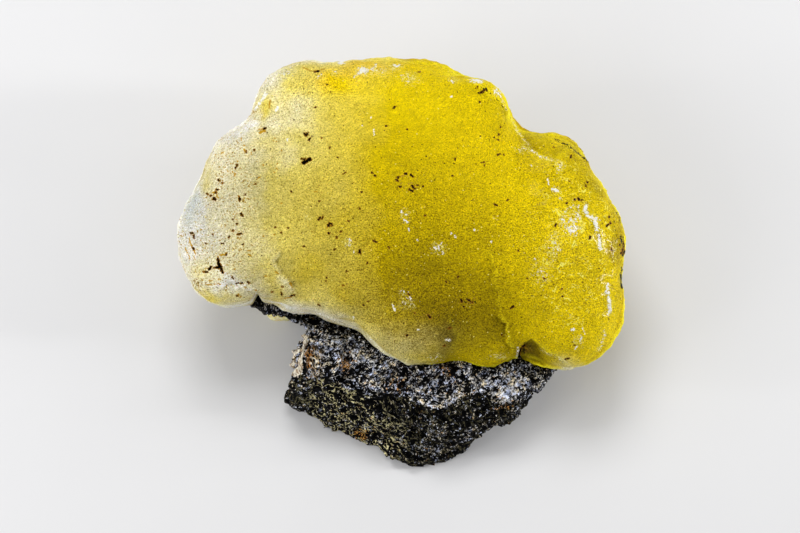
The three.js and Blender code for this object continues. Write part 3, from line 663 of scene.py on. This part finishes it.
RUSTY_PATCHES = [  # how thick with brown specks
    (-28.1, 26.2, 0.7, 0.5, 0.7), (-33.6, 18.4, 1.4, 2, 0.55), (-37.4, 13.6, 1.4, 1.1, 0.5),
    (-33.2, 8.6, 0.9, 1.6, 0.55), (-32.3, 5.2, 1.2, 1, 0.5), (-31, 1.9, 1.6, 0.9, 0.5),
    (-42, 3.2, 1, 2, 0.45), (-37.4, -3.9, 2.4, 0.5, 0.5), (-32.4, -4.2, 1.8, 0.6, 0.45),
    (-32.6, -6.4, 0.8, 0.6, 0.6), (-31, -8.6, 2, 0.8, 0.6), (-24, -5.4, 1.8, 1.2, 0.45),
    (-17.4, 38.1, 2, 0.5, 0.6), (-16.4, 14, 1.4, 2, 0.45), (-14.6, 7.4, 1.2, 1.2, 0.45),
    (0.6, 16, 2, 1.8, 0.5), (-12, -5, 4, 3, 0.4), (12.4, -7.6, 2, 1, 0.5), (5, -10.4, 1.6, 1.2, 0.5),
    (20.4, -19.6, 1, 0.6, 0.5), (24.6, -17.4, 1.6, 1.4, 0.7), (43.6, 3, 0.9, 2.4, 0.6),
]


def needs_detail(p):
    """Where the crust has marks or sharp edges that its ordinary faces are too wide for."""
    near = inside_marks(p, PITS + STAINS + GLINTS) > -0.2
    for line in NOTCH_EDGE, NOTCH_SIDE, MIDDLE_LOBE_SIDE:
        near |= np.abs(beside(p, line)[0]) < 0.5
    return near


def ledges(p):
    """How far the ground drops beside the ledges, in millimetres, and how strongly each point is on a lip."""
    drop, lip = np.zeros(len(p)), np.zeros(len(p))
    for depth, reach, low_side, start, end, corners in LEDGES:
        side, share = beside(p, corners)
        side = low_side * side + 0.7 * waves(p, 2.4, 3, 7.3)
        there = depth * fades(share, start, end)
        drop += there * smoothstep(0, 0.5, side) * np.exp(-np.maximum(side, 0) / reach)
        lip = np.maximum(lip, there * smoothstep(-0.9, -0.1, side) * smoothstep(0.2, 0, side))
    return np.array([drop, lip])


def notch_depth(p):
    """How far the notch between the middle and the right lobe lies behind them, in millimetres."""
    below_ledge, _ = beside(p, NOTCH_EDGE)
    beside_lobe, _ = beside(p, NOTCH_SIDE)
    sunk = smoothstep(0.05, -0.25, below_ledge) * smoothstep(-0.05, 0.25, beside_lobe)
    from_middle = np.hypot(p[:, 0] - NOTCH_MIDDLE[0], p[:, 1] - NOTCH_MIDDLE[1])
    return NOTCH_DEPTH * sunk * smoothstep(32, 26, p[:, 0]) * smoothstep(6.5, 5, from_middle)


def crust_relief(p, facing, steep, behind):
    """Height of the crust's surface above the smooth solid, in millimetres."""
    height = 0.3 * waves(p, 8, 2) + 0.12 * waves(p, 2.2, 3, 3.7)
    height += (1 - facing) * (0.3 * waves(p, 3.4, 3, 6.1) + 0.1 * waves(p, 1.3, 2, 4.4) + 0.1)
    height += steep * 0.35 * layers(p, 1.6, 4.2) + behind * 0.9 * (crags(p, 4, 3, 2.7) - 0.4)
    outward, share = beside(p, RIM_EDGE)
    flakes = np.floor(np.clip(outward + 0.6 * waves(p, 2.2, 2, 9.1), 0, 3) / FLAKE_WIDTH)
    height -= FLAKE_DEPTH * fades(share) * flakes * (p[:, 2] > -4)
    return height - PIT_DEPTH * smoothstep(0.0, 0.3, inside_marks(p, PITS)) * facing


def crust_paleness(p, warped):
    """0 where the crust is deep yellow, 0.5 where it is pale yellow and 1 where it is chalk."""
    paleness = np.clip((-warped[:, 0] - 4 + 0.4 * np.maximum(warped[:, 1] - 22, 0)) / 42, 0, 1)
    side, share = beside(warped, LOWER_EDGE)
    paleness += 0.5 * fades(share, 0.1, 0.25) * smoothstep(9, 0, np.abs(side))
    paleness += patches(warped, PALER_PATCHES) - patches(warped, YELLOWER_PATCHES)
    paleness += 0.12 * waves(p, 9, 4, 1.3) * smoothstep(4, -20, p[:, 0])
    return paleness


def crust_tint(p, facing, steep, behind, drop, lip):
    """The crust's colour without its specks and marks, with painted shade and painted light in it."""
    warped = p + np.column_stack([2 * waves(p, 6, 3, 5.5), 2 * waves(p, 6, 3, 8.5), np.zeros(len(p))])
    paleness = crust_paleness(p, warped)
    colours = np.tile(DEEP_YELLOW, (len(p), 1))
    colours = blend_to(colours, AMBER, patches(warped, AMBER_PATCHES))
    # Olive tone, partly painted shade in the lower middle, beside the lobes and in the notch
    colours = blend_to(colours, OLIVE, patches(warped, OLIVE_AND_SHADE_PATCHES))
    colours = blend_to(colours, PALE_YELLOW, np.clip(2 * paleness, 0, 1))
    colours = blend_to(colours, CHALK, np.clip(2 * paleness - 1, 0, 1))
    colours = blend_to(colours, GREY, patches(warped, GREY_PATCHES))
    colours *= (1 + 0.1 * waves(p, 3.2, 4, 4.8))[:, None]
    # Painted shade and painted light, with some of the crust's own tone
    for *place, darker in TONE_SHADE_AND_LIGHT_PATCHES:
        colours *= (1 - darker * blob(warped, *place))[:, None]
    # Painted shade on the low side of each ledge and in the notch
    colours = blend_to(colours, colours * 0.6, np.clip(drop, 0, 1))

    # The colour of the painted glow and painted highlights: lemon, turning white where the crust is pale
    painted_glow = blend_to(np.tile(LEMON, (len(p), 1)), SNOW, np.clip(1.6 * paleness, 0, 1))
    # Painted highlight on the lips of the ledges
    colours = blend_to(colours, painted_glow, np.clip(0.5 * lip, 0, 1))
    stripes = layers(p, 1.2, 4.2)
    # Layered bands on the steep sides: real layers, lightened with a painted glow of the thin edges
    colours = blend_to(colours, painted_glow, steep * np.clip(0.35 + 0.9 * stripes, 0, 0.75))
    colours = blend_to(colours, colours * np.array([0.8, 0.7, 0.45]), steep * np.clip(-1.6 * stripes, 0, 1))
    # Painted glow along the rim of the domed face
    colours = blend_to(colours, painted_glow, 0.8 * smoothstep(0.7, 0.95, 1 - facing) * smoothstep(-3, 0, p[:, 2]))
    colours = blend_to(colours, PALE_YELLOW, 0.6 * behind)
    return blend_to(colours, UMBER, behind * smoothstep(0.05, 0.5, waves(p, 6, 4, 2.2)) * 0.5)


def add_grain(tree, grit):
    """Fine grain and long soft strokes; gives the height of both."""
    fine = tree.noise(0.26, 2, tree.swirled(0.3, 1), crispness=0.6)
    middle = 0.51
    grain = tree.plus(tree.times(tree.math("SUBTRACT", fine, middle), grit), middle)
    tree.multiply(tree.between(grain, 0.52, 0.26), (0.42, 0.36, 0.16))
    tree.multiply(tree.between(grain, 0.5, 0.76), (1.6, 1.58, 1.6))
    strokes = tree.noise(0.5, 3, tree.stretched(tree.swirled(5, 9), 28, 2.6, 0.7, 1))
    tree.multiply(tree.between(strokes, 0.52, 0.7), (1.2, 1.19, 1.35))
    tree.multiply(tree.between(strokes, 0.46, 0.3), (0.8, 0.78, 0.7))
    return tree.plus(fine, strokes)


def add_specks(tree, grit):
    """Brown, cream and dark specks, and lemon threads where the crust is glossy."""
    tree.multiply(tree.specks(0.6, tree.times(grit, 0.3), 0.12, 0.26), (0.62, 0.5, 0.3))
    tree.cover(tree.specks(0.7, tree.times(grit, 0.14), 0.1, 0.2), CREAM)
    tree.cover(tree.specks(0.9, tree.times(grit, 0.3), 0.08, 0.17), DARK_OLIVE)
    threads = tree.threads(2.2, 0.018, tree.swirled(1, 3), 1.0)
    broken = tree.times(threads, tree.between(tree.noise(1.5, 2), 0.48, 0.58))
    tree.cover(tree.times(broken, tree.between(tree.attribute("gloss"), 0.02, 0.16)), LEMON_THREAD)


def add_rust(tree):
    rusty, grain = tree.attribute("rust"), tree.noise(0.4, 2)
    tree.cover(tree.flecks(grain, rusty, 0.72, 0.42), RUST)
    tree.cover(tree.flecks(grain, rusty, 0.82, 0.49), DARK_RUST)


def add_frost_and_highlights(tree):
    """White flecks, partly frosting and partly painted highlights and glints, with a crackle of pale threads
    between them; gives where the flecks are.
    """
    icy, grain = tree.attribute("frost_and_highlight"), tree.noise(0.5, 4, distortion=0.6, crispness=0.6)
    crackle = tree.times(tree.threads(0.9, 0.03, distortion=0.6), tree.between(icy, 0.12, 0.4))
    tree.cover(tree.times(crackle, tree.between(grain, 0.36, 0.5)), PALE_THREAD)
    flecks = tree.flecks(grain, icy, 0.74, 0.34)
    # White flecks: frosting, and painted highlights and glints
    tree.cover(flecks, SNOW)
    return flecks


def add_marks(tree):
    """Cracks with painted shade in creases, ochre stains, white glints and pits with brown rims."""
    # Dark cracks, and painted shade in creases and in the notch
    tree.cover(tree.flecks(tree.noise(0.5, 3, distortion=0.8), tree.attribute("crack_and_shade"), 0.76, 0.32), CRACK_AND_SHADE)
    ragged = tree.ragged(0.3, 0.8)
    for name, outer, inner, colour in (
        ("stain", -0.03, 0.03, OCHRE),
        ("glint", -0.03, 0.03, SNOW),
        ("pit", -0.16, -0.08, PIT_RIM),
        ("pit", -0.03, 0.02, PIT_BOTTOM),
    ):
        tree.cover(tree.between(tree.plus(tree.attribute(name), ragged), outer, inner), colour)


def crust_material():
    tree = Tree("brucite")
    tree.colour = tree.attribute("tint", "Color")
    grit = tree.attribute("grit")
    relief = add_grain(tree, grit)
    add_specks(tree, grit)
    add_rust(tree)
    frost_and_highlight = add_frost_and_highlights(tree)
    add_marks(tree)
    tree.feed(tree.surface, {
        "Base Color": tree.colour,
        "Roughness": tree.between(tree.noise(1.4, 4), -0.9, 1.5),
        "Normal": tree.bump(tree.plus(relief, tree.times(frost_and_highlight, 0.3)), 0.3),
        "Subsurface Weight": 0.2,
        "Subsurface Radius": (1.0, 0.8, 0.2),
        "Subsurface Scale": 1.0 * MM,
        "Specular IOR Level": 0.1,
        "Specular Tint": (1.0, 0.92, 0.4, 1),
        "Coat Weight": tree.attribute("gloss"),
        "Coat Roughness": 0.1,
    })
    return tree.material


def paint_crust(crust, points, front, steep, behind):
    """Stores where the crust is coarse, glossy, frosted and given painted highlights, rusty or marked."""
    grit = 0.95 + patches(points, COARSE_PATCHES) - 0.4 * blob(points, *FINE_PLACE)
    paint(crust, "grit", grit * (1 - 0.35 * steep))
    paint(crust, "gloss", 0.28 * blob(points, *GLOSS_PLACE) * front)
    # Frosting, painted highlights and painted glints
    paint(crust, "frost_and_highlight", np.maximum(drawn(points, FROST_AND_HIGHLIGHT_LINES), patches(points, FROST_AND_HIGHLIGHT_PATCHES)) * front)
    freckled = 0.42 * smoothstep(-20, -32, points[:, 0]) * (0.7 + waves(points, 5, 2, 7.7))
    stained = behind * (0.35 + 0.9 * waves(points, 6, 4, 2.2))
    paint(crust, "rust", np.maximum(np.maximum(freckled, patches(points, RUSTY_PATCHES)) * front, stained))
    for name, marks in ("pit", PITS), ("stain", STAINS), ("glint", GLINTS):
        paint(crust, name, np.where(front > 0.05, inside_marks(points, marks), NO_MARK))


def make_crust():
    crust = fine_copy("brucite_crust", "crust_surface", CRUST_CELL, smoothing=12)
    for _ in range(DETAIL_SPLITS):
        middles, normals = measured(crust.data.polygons, "center")
        split_faces(crust, needs_detail(middles) & (normals[:, 2] > 0))
    points, normals = measured(crust.data.vertices, "co")
    towards_viewer = normals[:, 2]
    facing = smoothstep(0.15, 0.6, np.abs(towards_viewer))
    front = smoothstep(0.1, 0.3, towards_viewer)
    steep = softened(crust, 1 - facing)
    behind = softened(crust, smoothstep(-0.1, -0.5, towards_viewer))
    drop, lip = ledges(points) * front
    points += normals * (crust_relief(points, facing, steep, behind) - drop)[:, None]
    notch = notch_depth(points) * front
    points[:, 2] -= notch
    points[:, :2] += pushed(points, CRUST_PUSHES)
    set_face_points(crust, points, "brucite_crust")

    # The tint gets painted shade beside the ledges and in the notch, and painted highlights on the lips
    paint(crust, "tint", crust_tint(points, facing, steep, behind, drop + 0.5 * notch, lip))
    # Cracks, and painted shade in creases
    paint(crust, "crack_and_shade", drawn(points, CRACK_AND_SHADE_LINES) * smoothstep(0, 0.3, towards_viewer))
    paint_crust(crust, points, front, steep, behind)
    finish(crust, "brucite_crust", crust_material())
    return crust


# ---- The rock ----
ROCK_CELL = 0.36
BLOCK_SIZE, CHUNK_SIZE, BIT_SIZE = 6, 2.6, 1.1
BLOCK_HEIGHT, CHUNK_HEIGHT, BIT_HEIGHT = 1.2, 0.7, 0.16
RIDGE_HEIGHT, CREVICE_DEPTH = 0.6, 0.8
RIDGE = [
    (-21, -22.4), (-14.6, -23.8), (-9.6, -26), (-5.6, -27), (-0.6, -26.2), (1.8, -27.2), (5.8, -28.8),
    (8.6, -29), (9.8, -27.8), (11, -26.8), (15.4, -25.6), (19, -26.4), (25, -28.4)]
IVORY_RIDGE = [(-19.2, -14.2), (-20, -16.4), (-20.9, -18.8), (-21, -20.6), (-21.7, -23.2)]
IVORY_RING = (0.4, 0.9, [(-20.8, -16.8), (-22, -17.3), (-22.8, -18.4), (-22.8, -19.8), (-22, -21)])
CREVICE = (0.5, 1.0, [(-15.6, -23), (-11.6, -23.4), (-8.6, -25.6), (-5.6, -26.8), (-2, -26.8)])
RIBS_PLACE = (-17.6, -19.8, 2, 3.6)
ROCK_PUSHES = [  # a patch's place, and how far the surface there moves to the right and up
    (-25.6, -10.8, 1.5, 1.6, 0, 0.85), (-19.4, -12.4, 1.5, 1.3, -1.1, -0.4), (-21.8, -17, 1.8, 2.6, 0.8, 0),
    (-23.6, -25, 1.6, 1.4, -0.9, 0), (-16.6, -32.4, 3.4, 2.4, 0, -0.9), (-3.6, -38.6, 1.3, 1.6, 0, -1),
    (6, -41, 2.6, 2, 0, -0.9), (12.8, -38, 1.2, 1.6, 0, -0.8), (25, -28.7, 1.4, 1.4, -0.4, 0.4),
    (29.4, -23, 2, 1.6, 0.7, 0),
]
ROCK_LIT = [  # painted light, or painted shade if negative: how much lighter, or darker if negative
    (-13.4, -17.4, 3, 3, 0.3), (-8, -19.6, 3, 3, 0.3), (20, -25, 4.5, 2.8, 0.3), (-25, -10, 4, 1.5, -0.5),
    (13.4, -21, 2.4, 2, 0.3), (-5, -33.4, 2.4, 3, 0.3), (-10, -31, 4, 3, 0.3), (27.6, -23, 2.4, 2, -0.6),
    (-3, -30, 3.4, 2.2, -0.5), (6, -24, 4, 2, -0.2),
]
VEINED = [(-12, -28.5, 5, 4.5, 1.0), (-4.6, -35.4, 3.6, 3.6, 1.0)]
ROCK_RUST = [  # how rusty
    (-8.6, -34.8, 2.4, 1.2, 1), (-11.6, -20.4, 1.4, 1.6, 0.9), (-19, -19, 1, 3, 0.8),
    (3.4, -29.6, 1.4, 0.8, 0.8), (8.8, -21.4, 2.2, 1.6, 0.6), (-2, -24.6, 3, 1.4, 0.5),
    (20.4, -29, 2.4, 1.4, 0.5),
]
BLACK, SLATE, ASH, WHITE = srgb(1, 1, 2), srgb(62, 60, 60), srgb(150, 147, 146), srgb(252, 252, 255)
BLUE_GREY, SPARK = srgb(158, 162, 172), srgb(226, 228, 236)
TAN, RIB, IVORY = srgb(232, 222, 168), srgb(200, 180, 150), srgb(244, 236, 216)
BARK, DARK_BARK = srgb(170, 134, 96), srgb(48, 36, 24)


def add_rock_grain(tree, fine, lit):
    """Black, grey and white grain with crisp edges, lighter where the rock is lit; gives its height."""
    flakes = tree.noise(0.5, 2, tree.stretched(tree.swirled(3, 4), 35, 2.4, 0.6, 1))
    level = tree.plus(fine, tree.times(flakes, 0.5))
    level = tree.plus(level, tree.times(tree.noise(1.8, 2), 0.12))
    level = tree.plus(level, tree.times(lit, 0.14))
    # Painted shade in hollows and cracks
    level = tree.math("SUBTRACT", level, tree.times(tree.attribute("hollow"), 0.2))
    tree.colour = tree.mix(tree.between(level, 0.86, 0.89), BLACK, SLATE)
    tree.cover(tree.between(level, 0.91, 0.94), ASH)
    tree.cover(tree.between(level, 1.0, 1.04), WHITE)
    return level


def add_rock_glitter(tree, level, lit, crumpled):
    """Plates, hairs and sparks of light mineral."""
    chance = tree.channels(tree.cells(1.3, crumpled)["Color"])
    plates = tree.times(tree.between(chance[0], 0.76, 0.78), tree.between(level, 0.86, 0.9))
    tree.cover(tree.times(plates, 0.7), BLUE_GREY)
    hairs = tree.threads(0.8, 0.04, tree.stretched(tree.swirled(2, 3), 35, 2, 0.8, 1), 0.6)
    kept = tree.between(tree.plus(tree.noise(0.9, 2), tree.times(lit, 0.08)), 0.55, 0.6)
    tree.cover(tree.times(hairs, kept), WHITE)
    tree.cover(tree.times(tree.specks(0.55, 0.2, 0.16, 0.34), tree.between(level, 0.7, 0.8)), SPARK)


def add_rock_stains(tree, fine, pale_parts):
    """Ribs at the left, earthy and bluish parts, tan veins and rust."""
    vein = tree.attribute("vein")
    ribs = tree.threads(0.8, 0.05, tree.stretched(tree.swirled(0.5, 2), -80, 3.5, 0.7, 1))
    tree.cover(tree.times(ribs, tree.between(pale_parts, 0.15, 0.35)), RIB)
    earthy = tree.plus(tree.noise(1.2, 3), tree.times(vein, 0.08))
    tree.multiply(tree.between(earthy, 0.5, 0.64), (1.0, 0.87, 0.6))
    tree.multiply(tree.between(earthy, 0.5, 0.4), (0.82, 0.9, 1.12))
    net = tree.threads(1.9, 0.034, tree.stretched(tree.swirled(1, 2), -50, 1.8, 0.8, 1), 0.8)
    veined = tree.times(tree.between(vein, 0.1, 0.5), tree.between(fine, 0.44, 0.47))
    tree.cover(tree.times(net, veined), TAN)
    rusty = tree.plus(tree.noise(0.6, 3), tree.times(tree.attribute("rust"), 0.3))
    tree.multiply(tree.between(rusty, 0.62, 0.7), (0.9, 0.5, 0.2))


def add_ivory(tree, pale_parts):
    """The ivory patch, with brown streaks along it."""
    streaks = tree.noise(0.5, 3, tree.stretched(tree.place, -78, 3, 0.6, 1), distortion=0.5)
    pale = tree.mix(tree.between(streaks, 0.5, 0.36), IVORY, BARK)
    pale = tree.mix(tree.between(streaks, 0.38, 0.34), pale, DARK_BARK)
    torn = tree.plus(pale_parts, tree.times(tree.noise(0.9, 4), 2.4))
    tree.cover(tree.between(torn, 1.75, 1.85), pale)


def rock_material():
    tree = Tree("matrix rock")
    lit, pale_parts = tree.attribute("lit"), tree.attribute("ivory")
    crumpled = tree.swirled(0.5, 1.2)
    fine = tree.noise(0.45, 2, crumpled, crispness=0.6)
    level = add_rock_grain(tree, fine, lit)
    add_rock_glitter(tree, level, lit, crumpled)
    add_rock_stains(tree, fine, pale_parts)
    add_ivory(tree, pale_parts)
    tree.feed(tree.surface, {
        "Base Color": tree.colour,
        "Roughness": tree.between(fine, 0.0, 0.9),
        "Normal": tree.bump(tree.plus(tree.chips(0.7, crumpled), level), 0.25),
        "Specular IOR Level": 0.05,
    })
    return tree.material


def broken_relief(p):
    """Height of the rock's broken surface, in millimetres, and how strongly each point is in a hollow."""
    blocks, _ = facets(p, BLOCK_SIZE)
    chunks, chunk_edge = facets(p + 0.5 * waves(p, 2, 2, 1.1)[:, None], CHUNK_SIZE, 3.3)
    bits, _ = facets(p, BIT_SIZE, 5.1)
    rough = crags(p, 2.2, 3, 3.1)
    cracks = smoothstep(0.08, 0.0, chunk_edge)
    relief = BLOCK_HEIGHT * blocks + CHUNK_HEIGHT * chunks + BIT_HEIGHT * bits
    relief = relief - 0.3 * cracks + 0.5 * (rough - 0.45) - 0.2
    return relief, np.maximum(0.6 * cracks, smoothstep(0.3, 0.16, rough))


def ivory_parts(p):
    """How strongly each point is on the ivory ridge or the ring beside it."""
    side, share = beside(p, IVORY_RIDGE)
    ridge = fades(share, 0.1, 0.1) * smoothstep(1.2, 0.2, np.abs(side) + 0.4 * waves(p, 1.5, 2, 6.6))
    return np.maximum(ridge, drawn(p, [IVORY_RING]))


def paint_light(rock, points, above, on_ridge, contact):
    """Stores the rock's painted light and shade, which is lightest above its ridge and along it, darker below
    it and in painted shadow along the crust, and where it has veins.
    """
    upper = smoothstep(-0.5, 0.5, above + 0.8 * waves(points, 3, 2, 1.9))
    line = smoothstep(0.55, 0.1, np.abs(above)) * on_ridge * smoothstep(-3, 2, points[:, 0])
    vein = (1 - upper) * (0.19 + 0.8 * patches(points, VEINED))
    # Painted light on the upper facet, painted shade on the veined lower facet
    lit = 0.65 * upper - 0.2 - 0.7 * vein + 0.7 * waves(points, 3.6, 3, 2.8) + patches(points, ROCK_LIT)
    # Painted highlight along the ridge
    lit += 1.2 * line
    # Painted shadow along the crust
    paint(rock, "lit", np.clip(lit - 0.3 * contact, -0.8, 2))
    paint(rock, "vein", vein)


def make_rock(crust):
    rock = fine_copy("matrix_rock", "rock_surface", ROCK_CELL, smoothing=2)
    points, normals = measured(rock.data.vertices, "co")
    world = from_face(points)
    skin = BVHTree.FromObject(crust, bpy.context.evaluated_depsgraph_get())
    gap = np.array([skin.find_nearest(q)[3] for q in world]) / MM
    above, share = beside(points, RIDGE)
    on_ridge = fades(share, 0.1, 0.1)
    ivory = ivory_parts(points)
    crevice = drawn(points, [CREVICE])
    relief, hollow = broken_relief(points)
    relief += (0.9 + 1.5 * waves(points, 1.6, 2, 8.1)) * smoothstep(1.4, 0.4, gap)
    relief += RIDGE_HEIGHT * smoothstep(1.0, 0.0, np.abs(above)) * on_ridge
    relief += 0.2 * ivory - CREVICE_DEPTH * crevice
    ivory = np.maximum(ivory, 0.42 * blob(points, *RIBS_PLACE))
    off_floor = 1 - smoothstep(0.8, 0.1, world[:, 2] / MM)
    points += normals * (relief * off_floor)[:, None]
    points[:, :2] += pushed(points, ROCK_PUSHES) * off_floor[:, None]
    set_face_points(rock, points, "matrix_rock")

    paint_light(rock, points, above, on_ridge, smoothstep(1.6, 0.4, gap))
    # Painted shade in the hollows, cracks and the crevice
    paint(rock, "hollow", np.maximum(hollow, 1.5 * crevice))
    paint(rock, "ivory", ivory)
    paint(rock, "rust", patches(points, ROCK_RUST))
    finish(rock, "matrix_rock", rock_material())


# ---- The small rear lobe ----
LOBE_CELL = 0.2
LOBE_CREAM, LOBE_YELLOW = srgb(255, 250, 205), srgb(240, 222, 130)


def lobe_material():
    tree = Tree("pale brucite")
    tree.colour = tree.mix(tree.between(tree.noise(0.7, 4), 0.4, 0.6), LOBE_CREAM, LOBE_YELLOW)
    tree.feed(tree.surface, {
        "Base Color": tree.colour,
        "Roughness": tree.between(tree.noise(0.9, 3), -0.2, 1.6),
        "Normal": tree.bump(tree.noise(0.5, 4), 0.15),
        "Subsurface Weight": 0.5,
        "Subsurface Radius": (1.0, 0.8, 0.25),
        "Subsurface Scale": 2 * MM,
    })
    return tree.material


def make_lobe():
    lobe = fine_copy("brucite_rear_lobe", "rear_lobe_surface", LOBE_CELL, smoothing=4)
    points, normals = measured(lobe.data.vertices, "co")
    points += normals * (0.3 * waves(points, 1.8, 3, 2.9) + 0.2)[:, None]
    set_face_points(lobe, points, "brucite_rear_lobe")
    finish(lobe, "brucite_rear_lobe", lobe_material())


# ---- Floor, light and camera ----
FLOOR_RADIUS, FLOOR_DROP = 3, 0.0002  # in metres
WORLD_STRENGTH = 0.4
CAMERA_DISTANCE = 600
LENS = 135
VIEW_CENTRE = np.array([-0.6, -0.7, 0])
LIGHTS_AIM = (0, 5, 0)
LIGHTS = [  # name, place, width and height, power
    ("key from the top", (-60, 420, 330), (300, 200), 1.4),
    ("strip at the right", (420, 40, 110), (40, 260), 1.1),
    ("fill from the left", (-380, -40, 260), (260, 260), 0.7),
    ("strip at the left", (-420, 20, 110), (40, 260), 0.35),
]


def face_vector(x, y, z):
    """A point given in the specimen's axes, in the frame."""
    return Vector(from_face(np.array([x, y, z], float)))


def aim(thing, target):
    thing.rotation_euler = (target - thing.location).to_track_quat("-Z", "Y").to_euler()


def add_light(name, place, size, power):
    data = bpy.data.lights.new(name, "AREA")
    data.shape = "RECTANGLE"
    data.size, data.size_y = size[0] * MM, size[1] * MM
    data.energy = power
    light = bpy.data.objects.new(name, data)
    bpy.context.scene.collection.objects.link(light)
    light.location = face_vector(*place)
    aim(light, face_vector(*LIGHTS_AIM))


def make_floor():
    location = (0, 0, -FLOOR_DROP)
    bpy.ops.mesh.primitive_circle_add(vertices=96, radius=FLOOR_RADIUS, fill_type="NGON", location=location)
    floor = bpy.context.object
    floor.name = "floor"
    tree = Tree("floor")
    colour = tree.mix(tree.noise(40, 2), (0.72, 0.72, 0.73), (0.76, 0.76, 0.77))
    tree.feed(tree.surface, {"Base Color": colour, "Roughness": 0.85})
    floor.data.materials.append(tree.material)


def make_studio():
    world = bpy.data.worlds.new("studio")
    bpy.context.scene.world = world
    world.use_nodes = True
    world.node_tree.nodes["Background"].inputs["Color"].default_value = (1.0, 1.0, 1.0, 1)
    world.node_tree.nodes["Background"].inputs["Strength"].default_value = WORLD_STRENGTH
    for light in LIGHTS:
        add_light(*light)
    bpy.context.scene.view_settings.view_transform = "Standard"


def make_camera():
    data = bpy.data.cameras.new("camera")
    data.lens = LENS
    data.sensor_width = 36
    camera = bpy.data.objects.new("camera", data)
    bpy.context.scene.collection.objects.link(camera)
    camera.location = face_vector(*(VIEW_CENTRE + [0, 0, CAMERA_DISTANCE]))
    aim(camera, face_vector(*VIEW_CENTRE))
    bpy.context.scene.camera = camera


make_camera()
make_floor()
make_studio()
make_rock(make_crust())
make_lobe()

bpy.context.view_layer.update()
